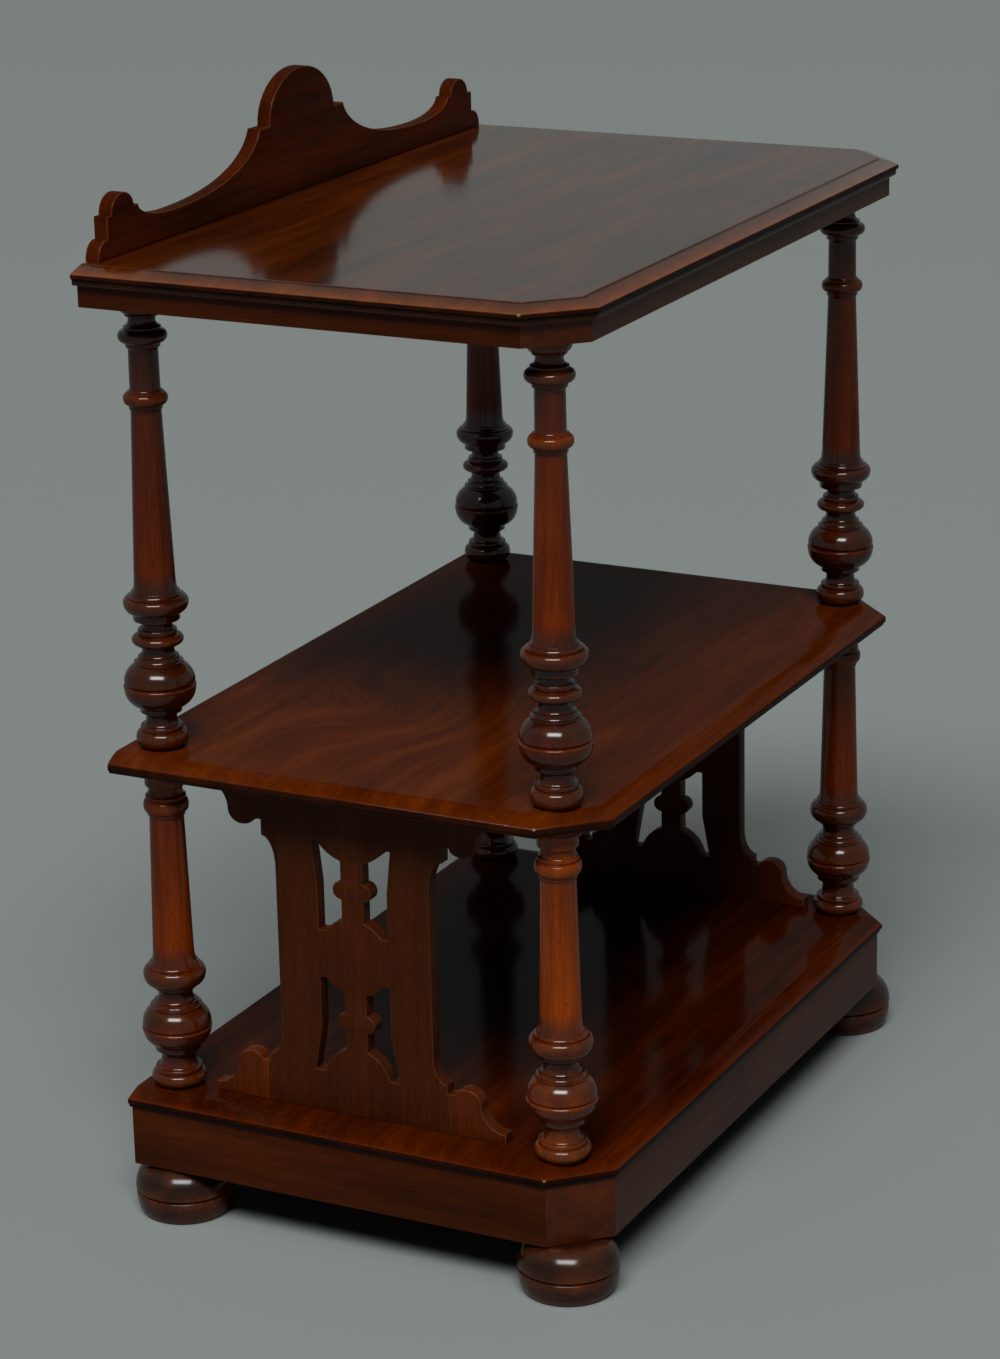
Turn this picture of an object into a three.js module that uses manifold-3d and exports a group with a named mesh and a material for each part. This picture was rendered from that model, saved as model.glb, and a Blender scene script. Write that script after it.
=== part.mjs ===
// A mahogany etagere of three tiers: a top with a shaped gallery, a middle shelf and a base
// board on a plinth, joined by turned columns, with two pierced trestles in the lower tier.
// Millimetres, +Z up. X runs along the front, -Y is the front and z = 0 is the floor.
// The origin is midway between the four bun feet, on the floor.
import * as THREE from "three";
import { mergeVertices } from "three/addons/utils/BufferGeometryUtils.js";
import Module from "manifold-3d";

const wasm = await Module();
wasm.setup();

// Driving dimensions.
const COLUMN_SPACING_X = 650; // between the axes of the left and right columns
const COLUMN_SPACING_Y = 396.5; // between the axes of the front and back columns
const LOWER_COLUMN = 313.5; // turned length between base board and middle shelf
const UPPER_COLUMN = 412.5; // turned length between middle shelf and top frieze
const JOINT_GAP = 0.3; // every seat, joint and drilled hole keeps this clearance
const OVERRUN = 4; // cutters pass this far beyond what they cut

// Chords of round and curved work.
const COLUMN_SEGMENTS = 10;
const FOOT_SEGMENTS = 16;
const DOWEL_SEGMENTS = 8;
const OUTLINE_SEGMENTS = 4;
const SWELL_STEPS = 2;
const BULB_STEPS = 3;

// Boards: overhangs are measured from the column axes, and cant is one leg of the cut corner.
const TOP = {
  thickness: 16,
  endOverhang: 62,
  frontOverhang: 52.5,
  backOverhang: 31,
  cant: 49,
  bevelWidth: 18,
  bevelDrop: 5.5,
  undercutWidth: 2.5,
  undercutHeight: 6,
};
const MIDDLE = {
  thickness: 17,
  endOverhang: 46,
  frontOverhang: 51,
  backOverhang: 31,
  cant: 51,
  bevelWidth: 18,
  bevelDrop: 5.5,
  undercutWidth: 2,
  undercutHeight: 3,
};
const BASE = {
  thickness: 15,
  endOverhang: 43,
  frontOverhang: 51,
  backOverhang: 31,
  cant: 49,
  bevelWidth: 18,
  bevelDrop: 5.5,
  undercutWidth: 2.5,
  undercutHeight: 4,
};
// The thumb moulding's middle point, as shares of the bevel's width and drop.
const thumbWidthShare = 0.4;
const thumbRiseShare = 0.68;
// A cant's leg shortens by this share of any inset from the board's edges.
const cantShare = 2 - Math.SQRT2;

// Frieze under the top and plinth under the base: rails housed round solid corner blocks.
const FRIEZE = {
  height: 20,
  inset: 8,
  backInset: 1.5,
  railThickness: 15,
  blockReach: 25, // from the column axis to the block's inner faces
};
const PLINTH = {
  height: 58,
  inset: 4.5,
  backInset: 1.5,
  railThickness: 16,
  blockReach: 27,
};

// Turned columns, each with the members that follow from the top down.
const SPIGOT = {
  radius: 9,
  socketDepth: 24, // into a plinth block or a lower column
  friezeDepth: 17, // into a frieze block
};
const UPPER = {
  capRadius: 20.5,
  capHeight: 9,
  capCurveHeight: 8,
  capNeckRadius: 12.1,
  capNeckHeight: 7,
  topFilletRadius: 16.8,
  topFilletHeight: 3,
  topRingRadius: 22,
  topRingHeight: 11,
  topRingFootRadius: 15.5,
  topRingFootHeight: 4,
  topShaftRadius: 13.4,
  topCoveHeight: 4,
  topShaftHeight: 35.5,
  shaftRadius: 13.7, // where the long shaft starts below the middle ring
  midFilletRadius: 16,
  midFilletHeight: 2,
  midRingRadius: 19.9,
  midRingHeight: 10.5,
  midRingFootRadius: 15,
  midRingFootHeight: 4,
  midCoveHeight: 3,
  shaftFootRadius: 18.4,
  flareRadius: 20.5,
  flareHeight: 20,
  stepTopRadius: 22,
  stepRadius: 26,
  stepHeight: 5,
  bigRingRadius: 28.5,
  bigRingHeight: 15,
  bigRingFootRadius: 21.2,
  bigRingFootHeight: 6.5,
  throatCoveHeight: 4,
  throatRadius: 14,
  throatHeight: 4.5,
  ringletRadius: 17.8,
  ringletHeight: 5,
  smallRingRadius: 22.3,
  smallRingHeight: 10,
  smallRingFootRadius: 17,
  waistRadius: 14,
  waistHeight: 11,
  shoulderRadius: 21,
  shoulderHeight: 7,
  bulbRadius: 32.3,
  bulbHeight: 41,
  grooveWidth: 2.6,
  grooveDepth: 1.6,
  collarRadius: 19,
  collarHeight: 4,
  neckRadius: 14,
  neckHeight: 12.5,
  beadTopRadius: 17,
  beadRadius: 19.4,
  beadHeight: 4.5,
  torusRadius: 22.9,
  torusHeight: 14.5,
  footRadius: 19,
  footHeight: 3,
};
const LOWER = {
  capRadius: 21,
  capHeight: 14,
  capFilletRadius: 18.6,
  capFilletHeight: 5,
  capNeckRadius: 15.7,
  capNeckHeight: 10,
  topFilletRadius: 18.5,
  topFilletHeight: 4.3,
  topRingRadius: 20.8,
  topRingHeight: 11.1,
  topRingFootRadius: 17.2,
  topRingFootHeight: 3.6,
  shaftRadius: 15.9,
  topCoveHeight: 3,
  shaftFootRadius: 18.7,
  flareRadius: 20.7,
  flareHeight: 20,
  stepTopRadius: 22,
  stepRadius: 25,
  stepHeight: 5,
  bigRingRadius: 27.9,
  bigRingHeight: 21.4,
  bigRingFootRadius: 20,
  bigRingFootHeight: 6.1,
  waistRadius: 16,
  waistHeight: 8.5,
  shoulderRadius: 20.8,
  shoulderRingRadius: 23.1,
  shoulderRingHeight: 7,
  bulbRadius: 31.1,
  bulbHeight: 40.5,
  grooveWidth: 2.6,
  grooveDepth: 1.6,
  collarRadius: 21.5,
  collarHeight: 4.5,
  neckRadius: 15.5,
  neckHeight: 10.9,
  beadTopRadius: 18.5,
  beadRadius: 21.5,
  beadHeight: 4.5,
  torusRadius: 24.2,
  torusHeight: 11.6,
  footRadius: 20.5,
  footHeight: 2,
};
// Where a swelling is widest, as a share of its height from its top.
const midwayShare = 0.5;
const bigRingPeakShare = 0.32;
const grooveShare = 0.24; // the groove's place below the bulb's widest line
const crestShare = 0.5; // the part of a small ring's height that stands at full radius

// Bun feet, set a little off the column axes.
const FOOT = {
  height: 52,
  radius: 46.5,
  lowerRadius: 46,
  floorRadius: 38,
  topRadius: 24,
  grooveHeight: 22,
  grooveWidth: 4,
  grooveDepth: 2.5,
  outwardX: 5, // from the column axis, towards the end
  outwardFront: 6, // from the front column's axis, towards the front
  inwardBack: 3.5, // from the back column's axis, towards the front
};

// Gallery on the back edge of the top, its outline measured from the middle to an end.
const GALLERY = {
  length: 724,
  thickness: 14,
  peakHeight: 115,
  lobeHalfWidth: 61,
  ledgeHeight: 69,
  ledgeWidth: 18,
  sweepHeight: 24, // lowest point of the long hollow
  sweepHalfSpan: 235, // from the middle to that lowest point
  innerStepHeight: 39.5,
  innerStepWidth: 7,
  scrollHeight: 54,
  scrollInnerWidth: 18,
  scrollOuterWidth: 19,
  outerStepHeight: 37,
  outerStepWidth: 8,
  postHeight: 17.5,
  postStepWidth: 2.5,
  endRoundWidth: 14,
};
// Handles of the long hollow's curve, as shares of its run and of its drop.
const sweepStartRunShare = 0.045;
const sweepStartDropShare = 0.42;
const sweepEndRunShare = 0.705;
// Handle length of a quarter turn, as a share of its run and of its rise.
const turnShare = 0.5523;

// Pierced trestle, its outline measured from its own middle line and from its ends.
const TRESTLE = {
  thickness: 14,
  planeInset: 5, // from the column axes, towards the middle of the etagere
  leftBackShift: 7, // of the left one, from midway between the columns towards the back
  rightBackShift: -15.5, // of the right one, which stands nearer the front
  seamHalfWidth: 94,
  lipHalfWidth: 91.5,
  waistHalfWidth: 78,
  footLipHeight: 47,
  footFlareHeight: 70,
  headLipDrop: 54,
  headFlareDrop: 82,
  barHalfWidth: 11,
  openingHalfWidth: 35.5,
  upperOpeningDrop: 51, // from the head down to the upper openings
  upperFlareHalfWidth: 40,
  upperFlareDrop: 92,
  lowerOpeningHeight: 40, // from the foot up to the lower openings
  lowerFlareHalfWidth: 43.5,
  lowerFlareHeight: 84,
  headLobeDrop: 26.5,
  headLobeRadius: 42,
  roundelHeight: 154.5,
  roundelRadius: 37,
  roundelBand: 23, // half the height of the solid band across the middle
  footLobeHeight: 31.8,
  footLobeRadius: 34.5,
  knopRadius: 8.5,
  upperKnopHeight: 218.5,
  lowerKnopHeight: 91,
};
// Scrolled bracket glued to each corner of a trestle.
const BRACKET = {
  length: 55,
  lobeHeight: 46,
  lobeReach: 17, // from the seam to the top of the lobe
  rimHeight: 33,
  rimReach: 31,
  notchHeight: 39,
  notchWidth: 5,
  toeHeight: 9,
};

// Dowels in blind holes, which hold the trestles and the gallery to the boards.
const DOWEL = {
  radius: 4,
  boardDepth: 9,
  pieceDepth: 14,
  trestleOffset: 60, // from the trestle's middle line
};
// Places of the gallery's dowels, as shares of its half length.
const galleryDowelShares = { left: -0.84, middle: 0, right: 0.84 };

// Finishes.
const topWood = mahogany("#6a2a17", 0.3);
const shelfWood = mahogany("#5c2013", 0.32);
const galleryWood = mahogany("#5a2113", 0.35);
const railWood = mahogany("#4d2012", 0.45);
const columnWood = mahogany("#7a3315", 0.3);
const trestleWood = mahogany("#572a19", 0.5);
const footWood = mahogany("#5a2a15", 0.35);
const dowelWood = mahogany("#a97c50", 0.7);

function mahogany(color, roughness) {
  return new THREE.MeshStandardMaterial({ color, roughness, metalness: 0 });
}

// Levels of the stack, from the floor up.
const plinthLevel = FOOT.height + JOINT_GAP;
const baseLevel = plinthLevel + PLINTH.height + JOINT_GAP;
const lowerTierLevel = baseLevel + BASE.thickness + JOINT_GAP;
const middleLevel = lowerTierLevel + LOWER_COLUMN + JOINT_GAP;
const upperTierLevel = middleLevel + MIDDLE.thickness + JOINT_GAP;
const friezeLevel = upperTierLevel + UPPER_COLUMN + JOINT_GAP;
const topLevel = friezeLevel + FRIEZE.height + JOINT_GAP;
const galleryLevel = topLevel + TOP.thickness + JOINT_GAP;

// Plan positions.
const columnX = COLUMN_SPACING_X / 2;
const columnMiddleY = (FOOT.outwardFront + FOOT.inwardBack) / 2;
const frontColumnY = columnMiddleY - COLUMN_SPACING_Y / 2;
const backColumnY = columnMiddleY + COLUMN_SPACING_Y / 2;
const corners = [
  { name: "front_left", x: -columnX, y: frontColumnY, side: -1, isFront: true },
  { name: "front_right", x: columnX, y: frontColumnY, side: 1, isFront: true },
  { name: "back_left", x: -columnX, y: backColumnY, side: -1, isFront: false },
  { name: "back_right", x: columnX, y: backColumnY, side: 1, isFront: false },
];
const footX = (corner) => corner.x + corner.side * FOOT.outwardX;
const footY = (corner) => corner.y - (corner.isFront ? FOOT.outwardFront : FOOT.inwardBack);
const trestles = [
  { name: "left", side: -1, backShift: TRESTLE.leftBackShift },
  { name: "right", side: 1, backShift: TRESTLE.rightBackShift },
].map(({ name, side, backShift }) => ({
  name,
  x: side * (columnX - TRESTLE.planeInset),
  y: columnMiddleY + backShift,
}));
const trestleDowels = trestles.flatMap(({ name, x, y }) => [
  { name: `${name}_front`, x, y: y - DOWEL.trestleOffset },
  { name: `${name}_back`, x, y: y + DOWEL.trestleOffset },
]);
const galleryBackY = backColumnY + TOP.backOverhang;
const galleryDowels = Object.entries(galleryDowelShares).map(([name, share]) => ({
  name,
  x: (share * GALLERY.length) / 2,
  y: galleryBackY - GALLERY.thickness / 2,
}));

const group = new THREE.Group();
group.name = "etagere";

function place(name, geometry, material, x, y, z) {
  const mesh = new THREE.Mesh(geometry, material);
  mesh.name = name;
  mesh.position.set(x, y, z);
  group.add(mesh);
}

// A geometry as a solid that can be cut.
function solidOf(geometry) {
  const bare = geometry.clone();
  bare.deleteAttribute("normal");
  bare.deleteAttribute("uv");
  const merged = mergeVertices(bare);
  const vertProperties = merged.attributes.position.array;
  const triVerts = new Uint32Array(merged.index.array);
  return new wasm.Manifold(new wasm.Mesh({ numProp: 3, vertProperties, triVerts }));
}

function cut(geometry, cutters) {
  const solid = cutters.reduce((rest, cutter) => rest.subtract(solidOf(cutter)), solidOf(geometry));
  const mesh = solid.getMesh();
  const result = new THREE.BufferGeometry();
  result.setAttribute("position", new THREE.BufferAttribute(mesh.vertProperties, mesh.numProp));
  result.setIndex(new THREE.BufferAttribute(mesh.triVerts, 1));
  return result;
}

// An upright peg or drill between two heights.
function upright(radius, segments, x, y, fromZ, toZ) {
  const peg = new THREE.CylinderGeometry(radius, radius, toZ - fromZ, segments);
  peg.rotateX(Math.PI / 2);
  peg.translate(x, y, (fromZ + toZ) / 2);
  return peg;
}

// A drill whose flats keep the joint's clearance round the peg.
function drill(pegRadius, segments, x, y, fromZ, toZ) {
  const radius = (pegRadius + JOINT_GAP) / Math.cos(Math.PI / segments);
  return upright(radius, segments, x, y, fromZ, toZ);
}

function spigotDrill(x, y, fromZ, toZ) {
  return drill(SPIGOT.radius, COLUMN_SEGMENTS, x, y, fromZ, toZ);
}

function dowelDrill(x, y, fromZ, toZ) {
  return drill(DOWEL.radius, DOWEL_SEGMENTS, x, y, fromZ, toZ);
}

// Board outline from above, moved in by inset at the front, the ends and the cants, and by
// backInset at the back.
function boardOutline(board, inset = 0, backInset = 0) {
  const endX = columnX + board.endOverhang - inset;
  const frontY = frontColumnY - board.frontOverhang + inset;
  const backY = backColumnY + board.backOverhang - backInset;
  const leg = board.cant - inset * cantShare;
  return [
    new THREE.Vector2(-endX, backY),
    new THREE.Vector2(-endX, frontY + leg),
    new THREE.Vector2(-endX + leg, frontY),
    new THREE.Vector2(endX - leg, frontY),
    new THREE.Vector2(endX, frontY + leg),
    new THREE.Vector2(endX, backY),
  ];
}

// A solid through level outlines of the same number of points, lowest first.
function loft(rings) {
  const count = rings[0].outline.length;
  const positions = rings.flatMap(({ outline, z }) => outline.flatMap((p) => [p.x, p.y, z]));
  const faces = THREE.ShapeUtils.triangulateShape(rings[0].outline, []);
  const last = (rings.length - 1) * count;
  const index = faces.flatMap(([a, b, c]) => [c, b, a, last + a, last + b, last + c]);
  for (let start = 0; start < last; start += count) {
    for (let k = 0; k < count; k++) {
      const a = start + k;
      const b = start + ((k + 1) % count);
      index.push(a, b, b + count, a, b + count, a + count);
    }
  }
  const geometry = new THREE.BufferGeometry();
  geometry.setAttribute("position", new THREE.Float32BufferAttribute(positions, 3));
  geometry.setIndex(index);
  return geometry;
}

// A board with an undercut nose below, a thumb moulding above and a plain back edge.
function mouldedBoard(board, drills) {
  const arris = board.thickness - board.bevelDrop;
  const sections = [
    [board.undercutWidth, 0],
    [0, board.undercutHeight],
    [0, arris],
    [board.bevelWidth * thumbWidthShare, arris + board.bevelDrop * thumbRiseShare],
    [board.bevelWidth, board.thickness],
  ];
  const rings = sections.map(([inset, z]) => ({ outline: boardOutline(board, inset), z }));
  return cut(loft(rings), drills);
}

function prism(outline, height) {
  return new THREE.ExtrudeGeometry(new THREE.Shape(outline), { depth: height, bevelEnabled: false });
}

// Rails round four corner blocks, under a board. The front blocks carry the cants, and the
// rails are housed in them, so that the joints show at the arrises of the cants.
function cornerFrame(prefix, frame, board, level, drillsFor) {
  const outer = boardOutline(board, frame.inset, frame.backInset);
  const [cantFront, cantEnd, backCorner] = outer.slice(3);
  const endX = cantEnd.x;
  const frontY = cantFront.y;
  const backY = backCorner.y;
  const thickness = frame.railThickness;
  const innerX = endX - thickness - JOINT_GAP;
  const frontRailX = cantFront.x - JOINT_GAP;
  const endRailY = cantEnd.y + JOINT_GAP;
  const rails = [
    ["front", -frontRailX, frontY, frontRailX, frontY + thickness],
    ["left", -endX, endRailY, thickness - endX, backY],
    ["right", endX - thickness, endRailY, endX, backY],
    ["back", -innerX, backY - thickness, innerX, backY],
  ];
  for (const [name, x0, y0, x1, y1] of rails) {
    const plan = [
      new THREE.Vector2(x0, y0),
      new THREE.Vector2(x1, y0),
      new THREE.Vector2(x1, y1),
      new THREE.Vector2(x0, y1),
    ];
    place(`${prefix}_${name}_rail`, prism(plan, frame.height), railWood, 0, 0, level);
  }

  const blockX = columnX - frame.blockReach;
  const frontBlockY = frontColumnY + frame.blockReach;
  const backBlockY = backColumnY - frame.blockReach;
  const housingY = frontY + thickness + JOINT_GAP;
  const backHousingY = backY - thickness - JOINT_GAP;
  const frontPlan = [
    [cantFront.x, frontY],
    [endX, cantEnd.y],
    [innerX, cantEnd.y],
    [innerX, frontBlockY],
    [blockX, frontBlockY],
    [blockX, housingY],
    [cantFront.x, housingY],
  ];
  const backPlan = [
    [blockX, backBlockY],
    [innerX, backBlockY],
    [innerX, backHousingY],
    [blockX, backHousingY],
  ];
  for (const corner of corners) {
    const plan = corner.isFront ? frontPlan : backPlan;
    const outline = plan.map(([x, y]) => new THREE.Vector2(corner.side * x, y));
    const block = cut(prism(outline, frame.height), drillsFor(corner));
    place(`${prefix}_block_${corner.name}`, block, railWood, 0, 0, level);
  }
}

// A turner's profile, worked downwards from a start radius and height.
class Turning {
  constructor(radius, height) {
    this.points = [new THREE.Vector2(radius, height)];
  }

  get last() {
    return this.points[this.points.length - 1];
  }

  line(radius, drop = 0) {
    this.points.push(new THREE.Vector2(radius, this.last.y - drop));
    return this;
  }

  // A quarter of an ellipse, which leaves its start level or upright.
  quarter(radius, drop, leavesLevel, steps = SWELL_STEPS) {
    const start = this.last;
    for (let step = 1; step <= steps; step++) {
      const angle = (step / steps) * (Math.PI / 2);
      const across = leavesLevel ? Math.sin(angle) : 1 - Math.cos(angle);
      const along = leavesLevel ? 1 - Math.cos(angle) : Math.sin(angle);
      const x = THREE.MathUtils.lerp(start.x, radius, across);
      this.points.push(new THREE.Vector2(x, start.y - drop * along));
    }
    return this;
  }

  // A swelling or a hollow, through a middle radius to an end radius.
  swell(middleRadius, endRadius, drop, peakShare = midwayShare) {
    this.quarter(middleRadius, drop * peakShare, true);
    return this.quarter(endRadius, drop * (1 - peakShare), false);
  }

  // A small ring, whose crest is flat.
  ring(crestRadius, endRadius, drop) {
    const shoulder = (drop * (1 - crestShare)) / 2;
    this.line(crestRadius, shoulder);
    this.line(crestRadius, drop * crestShare);
    return this.line(endRadius, shoulder);
  }

  // A round bulb with a V groove below its widest line.
  bulb(member) {
    const half = member.bulbHeight / 2;
    this.quarter(member.bulbRadius, half, true, BULB_STEPS);
    const rim = this.last;
    const lower = new Turning(rim.x, rim.y).quarter(member.collarRadius, half, false, BULB_STEPS);
    const grooveRadius = member.bulbRadius - member.grooveDepth;
    this.line(rim.x, half * grooveShare - member.grooveWidth / 2);
    this.line(grooveRadius, member.grooveWidth / 2);
    this.line(grooveRadius + member.grooveDepth / 2, member.grooveWidth / 2);
    this.points.push(...lower.points.slice(1));
    return this;
  }

  // The profile revolved about Z.
  revolve(segments) {
    const lathe = new THREE.LatheGeometry([...this.points].reverse(), segments);
    lathe.rotateX(Math.PI / 2);
    return lathe;
  }
}

// What a column's shaft takes up: the turned length less the heights of all other members.
function shaftHeight(length, members) {
  return Object.entries(members)
    .filter(([name]) => name.endsWith("Height"))
    .reduce((rest, [, height]) => rest - height, length);
}

// The members from the bulb down, and the spigot that goes through the board beneath.
function turnedFoot(turning, c, boardThickness) {
  const spigotLength = boardThickness + JOINT_GAP + JOINT_GAP + SPIGOT.socketDepth;
  return turning
    .bulb(c)
    .line(c.collarRadius, c.collarHeight)
    .swell(c.neckRadius, c.beadTopRadius, c.neckHeight)
    .line(c.beadRadius, c.beadHeight)
    .ring(c.torusRadius, c.footRadius, c.torusHeight)
    .line(c.footRadius, c.footHeight)
    .line(SPIGOT.radius)
    .line(SPIGOT.radius, spigotLength)
    .line(0)
    .revolve(COLUMN_SEGMENTS);
}

function upperColumn() {
  const c = UPPER;
  const turning = new Turning(0, UPPER_COLUMN + SPIGOT.friezeDepth)
    .line(SPIGOT.radius)
    .line(SPIGOT.radius, SPIGOT.friezeDepth)
    .line(c.capRadius)
    .line(c.capRadius, c.capHeight)
    .quarter(c.capNeckRadius, c.capCurveHeight, false)
    .line(c.capNeckRadius, c.capNeckHeight)
    .line(c.topFilletRadius)
    .line(c.topFilletRadius, c.topFilletHeight)
    .ring(c.topRingRadius, c.topRingFootRadius, c.topRingHeight)
    .line(c.topRingFootRadius, c.topRingFootHeight)
    .line(c.topShaftRadius, c.topCoveHeight)
    .line(c.shaftRadius, c.topShaftHeight)
    .line(c.midFilletRadius)
    .line(c.midFilletRadius, c.midFilletHeight)
    .ring(c.midRingRadius, c.midRingFootRadius, c.midRingHeight)
    .line(c.midRingFootRadius, c.midRingFootHeight)
    .line(c.shaftRadius, c.midCoveHeight)
    .line(c.shaftFootRadius, shaftHeight(UPPER_COLUMN, c))
    .line(c.flareRadius, c.flareHeight)
    .line(c.stepTopRadius)
    .line(c.stepRadius, c.stepHeight)
    .swell(c.bigRingRadius, c.bigRingFootRadius, c.bigRingHeight, bigRingPeakShare)
    .line(c.bigRingFootRadius, c.bigRingFootHeight)
    .line(c.throatRadius, c.throatCoveHeight)
    .line(c.throatRadius, c.throatHeight)
    .line(c.ringletRadius)
    .line(c.ringletRadius, c.ringletHeight)
    .ring(c.smallRingRadius, c.smallRingFootRadius, c.smallRingHeight)
    .swell(c.waistRadius, c.shoulderRadius, c.waistHeight)
    .line(c.shoulderRadius, c.shoulderHeight);
  return turnedFoot(turning, c, MIDDLE.thickness);
}

// The lower column is bored at the top for the spigot of the upper one.
function lowerColumn() {
  const c = LOWER;
  const boreDepth = SPIGOT.socketDepth + JOINT_GAP;
  const boreRadius = SPIGOT.radius + JOINT_GAP;
  const turning = new Turning(0, LOWER_COLUMN - boreDepth)
    .line(boreRadius)
    .line(boreRadius, -boreDepth)
    .line(c.capRadius)
    .line(c.capRadius, c.capHeight)
    .line(c.capFilletRadius)
    .line(c.capFilletRadius, c.capFilletHeight)
    .line(c.capNeckRadius)
    .line(c.capNeckRadius, c.capNeckHeight)
    .line(c.topFilletRadius)
    .line(c.topFilletRadius, c.topFilletHeight)
    .ring(c.topRingRadius, c.topRingFootRadius, c.topRingHeight)
    .line(c.topRingFootRadius, c.topRingFootHeight)
    .line(c.shaftRadius, c.topCoveHeight)
    .line(c.shaftFootRadius, shaftHeight(LOWER_COLUMN, c))
    .line(c.flareRadius, c.flareHeight)
    .line(c.stepTopRadius)
    .line(c.stepRadius, c.stepHeight)
    .swell(c.bigRingRadius, c.bigRingFootRadius, c.bigRingHeight, bigRingPeakShare)
    .line(c.bigRingFootRadius, c.bigRingFootHeight)
    .swell(c.waistRadius, c.shoulderRadius, c.waistHeight)
    .ring(c.shoulderRingRadius, c.shoulderRadius, c.shoulderRingHeight);
  return turnedFoot(turning, c, BASE.thickness);
}

// Bun foot: a flattened ball with a groove round it and a spigot above.
function bunFoot() {
  const f = FOOT;
  const grooveTop = f.grooveHeight + f.grooveWidth;
  return new Turning(0, f.height + SPIGOT.socketDepth)
    .line(SPIGOT.radius)
    .line(SPIGOT.radius, SPIGOT.socketDepth)
    .line(f.topRadius)
    .quarter(f.radius, f.height - grooveTop, true, BULB_STEPS)
    .line(f.lowerRadius - f.grooveDepth, f.grooveWidth / 2)
    .line(f.lowerRadius, f.grooveWidth / 2)
    .quarter(f.floorRadius, f.grooveHeight, false, BULB_STEPS)
    .line(0)
    .revolve(FOOT_SEGMENTS);
}

// A quarter turn of a sawn outline to a new point, which leaves level or upright.
function turnTo(path, x, y, leavesLevel) {
  const start = path.currentPoint.clone();
  const reachX = (x - start.x) * turnShare;
  const reachY = (y - start.y) * turnShare;
  if (leavesLevel) {
    path.bezierCurveTo(start.x + reachX, start.y, x, y - reachY, x, y);
  } else {
    path.bezierCurveTo(start.x, start.y + reachY, x - reachX, y, x, y);
  }
}

const mirror = (point) => new THREE.Vector2(-point.x, point.y);

// A closed shape from its right half, drawn upwards from its foot.
function symmetrical(half) {
  const right = half.getPoints(OUTLINE_SEGMENTS);
  const left = right.filter((point) => point.x > 0).reverse();
  return new THREE.Shape([...right, ...left.map(mirror)]);
}

// The gallery, drawn in its length and height, then stood up with its back at y = 0.
function gallery() {
  const g = GALLERY;
  const end = g.length / 2;
  const postX = end - g.endRoundWidth - g.postStepWidth;
  const scrollX = postX - g.outerStepWidth - g.scrollOuterWidth;
  const innerStepX = scrollX - g.scrollInnerWidth - g.innerStepWidth;
  const ledgeX = g.lobeHalfWidth + g.ledgeWidth;
  const run = g.sweepHalfSpan - ledgeX;
  const half = new THREE.Path();
  half.moveTo(end, 0);
  turnTo(half, end - g.endRoundWidth, g.postHeight, false);
  half.lineTo(postX, g.postHeight);
  half.lineTo(postX, g.outerStepHeight);
  half.lineTo(postX - g.outerStepWidth, g.outerStepHeight);
  turnTo(half, scrollX, g.scrollHeight, false);
  turnTo(half, scrollX - g.scrollInnerWidth, g.innerStepHeight, true);
  half.lineTo(innerStepX, g.innerStepHeight);
  turnTo(half, g.sweepHalfSpan, g.sweepHeight, false);
  half.bezierCurveTo(
    g.sweepHalfSpan - run * sweepEndRunShare,
    g.sweepHeight,
    ledgeX + run * sweepStartRunShare,
    g.ledgeHeight - (g.ledgeHeight - g.sweepHeight) * sweepStartDropShare,
    ledgeX,
    g.ledgeHeight,
  );
  half.lineTo(g.lobeHalfWidth, g.ledgeHeight);
  turnTo(half, 0, g.peakHeight, false);
  const board = prism(symmetrical(half).getPoints(), g.thickness);
  board.rotateX(Math.PI / 2);
  const drills = galleryDowels.map(({ x }) =>
    dowelDrill(x, -g.thickness / 2, -OVERRUN, DOWEL.pieceDepth + JOINT_GAP),
  );
  return cut(board, drills);
}

// An upper and a lower opening of the trestle, right of its bar. Their inner edges follow
// circles about the middle line, and the knops of the bar.
function openings() {
  const t = TRESTLE;
  const upperTop = LOWER_COLUMN - t.upperOpeningDrop;
  const headHeight = LOWER_COLUMN - t.headLobeDrop;
  const barAngle = (radius) => Math.acos(t.barHalfWidth / radius);
  const riseAngle = (rise, radius) => Math.asin(rise / radius);
  const headAngle = riseAngle(headHeight - upperTop, t.headLobeRadius);
  const bandAngle = riseAngle(t.roundelBand, t.roundelRadius);
  const footAngle = riseAngle(t.lowerOpeningHeight - t.footLobeHeight, t.footLobeRadius);

  const upper = new THREE.Path();
  upper.moveTo(t.openingHalfWidth, t.roundelHeight + t.roundelBand);
  upper.lineTo(t.openingHalfWidth, LOWER_COLUMN - t.upperFlareDrop);
  upper.lineTo(t.upperFlareHalfWidth, upperTop);
  const headBarAngle = barAngle(t.headLobeRadius);
  upper.absarc(0, headHeight, t.headLobeRadius, -headAngle, -headBarAngle, true);
  upper.absarc(t.barHalfWidth, t.upperKnopHeight, t.knopRadius, Math.PI / 2, -Math.PI / 2, true);
  const roundelBarAngle = barAngle(t.roundelRadius);
  upper.absarc(0, t.roundelHeight, t.roundelRadius, roundelBarAngle, bandAngle, true);

  const lower = new THREE.Path();
  lower.moveTo(t.lowerFlareHalfWidth, t.lowerOpeningHeight);
  lower.lineTo(t.openingHalfWidth, t.lowerFlareHeight);
  lower.lineTo(t.openingHalfWidth, t.roundelHeight - t.roundelBand);
  lower.absarc(0, t.roundelHeight, t.roundelRadius, -bandAngle, -roundelBarAngle, true);
  lower.absarc(t.barHalfWidth, t.lowerKnopHeight, t.knopRadius, Math.PI / 2, -Math.PI / 2, true);
  const footBarAngle = barAngle(t.footLobeRadius);
  lower.absarc(0, t.footLobeHeight, t.footLobeRadius, footBarAngle, footAngle, true);

  return [upper, lower].map((path) => path.getPoints(OUTLINE_SEGMENTS));
}

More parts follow.
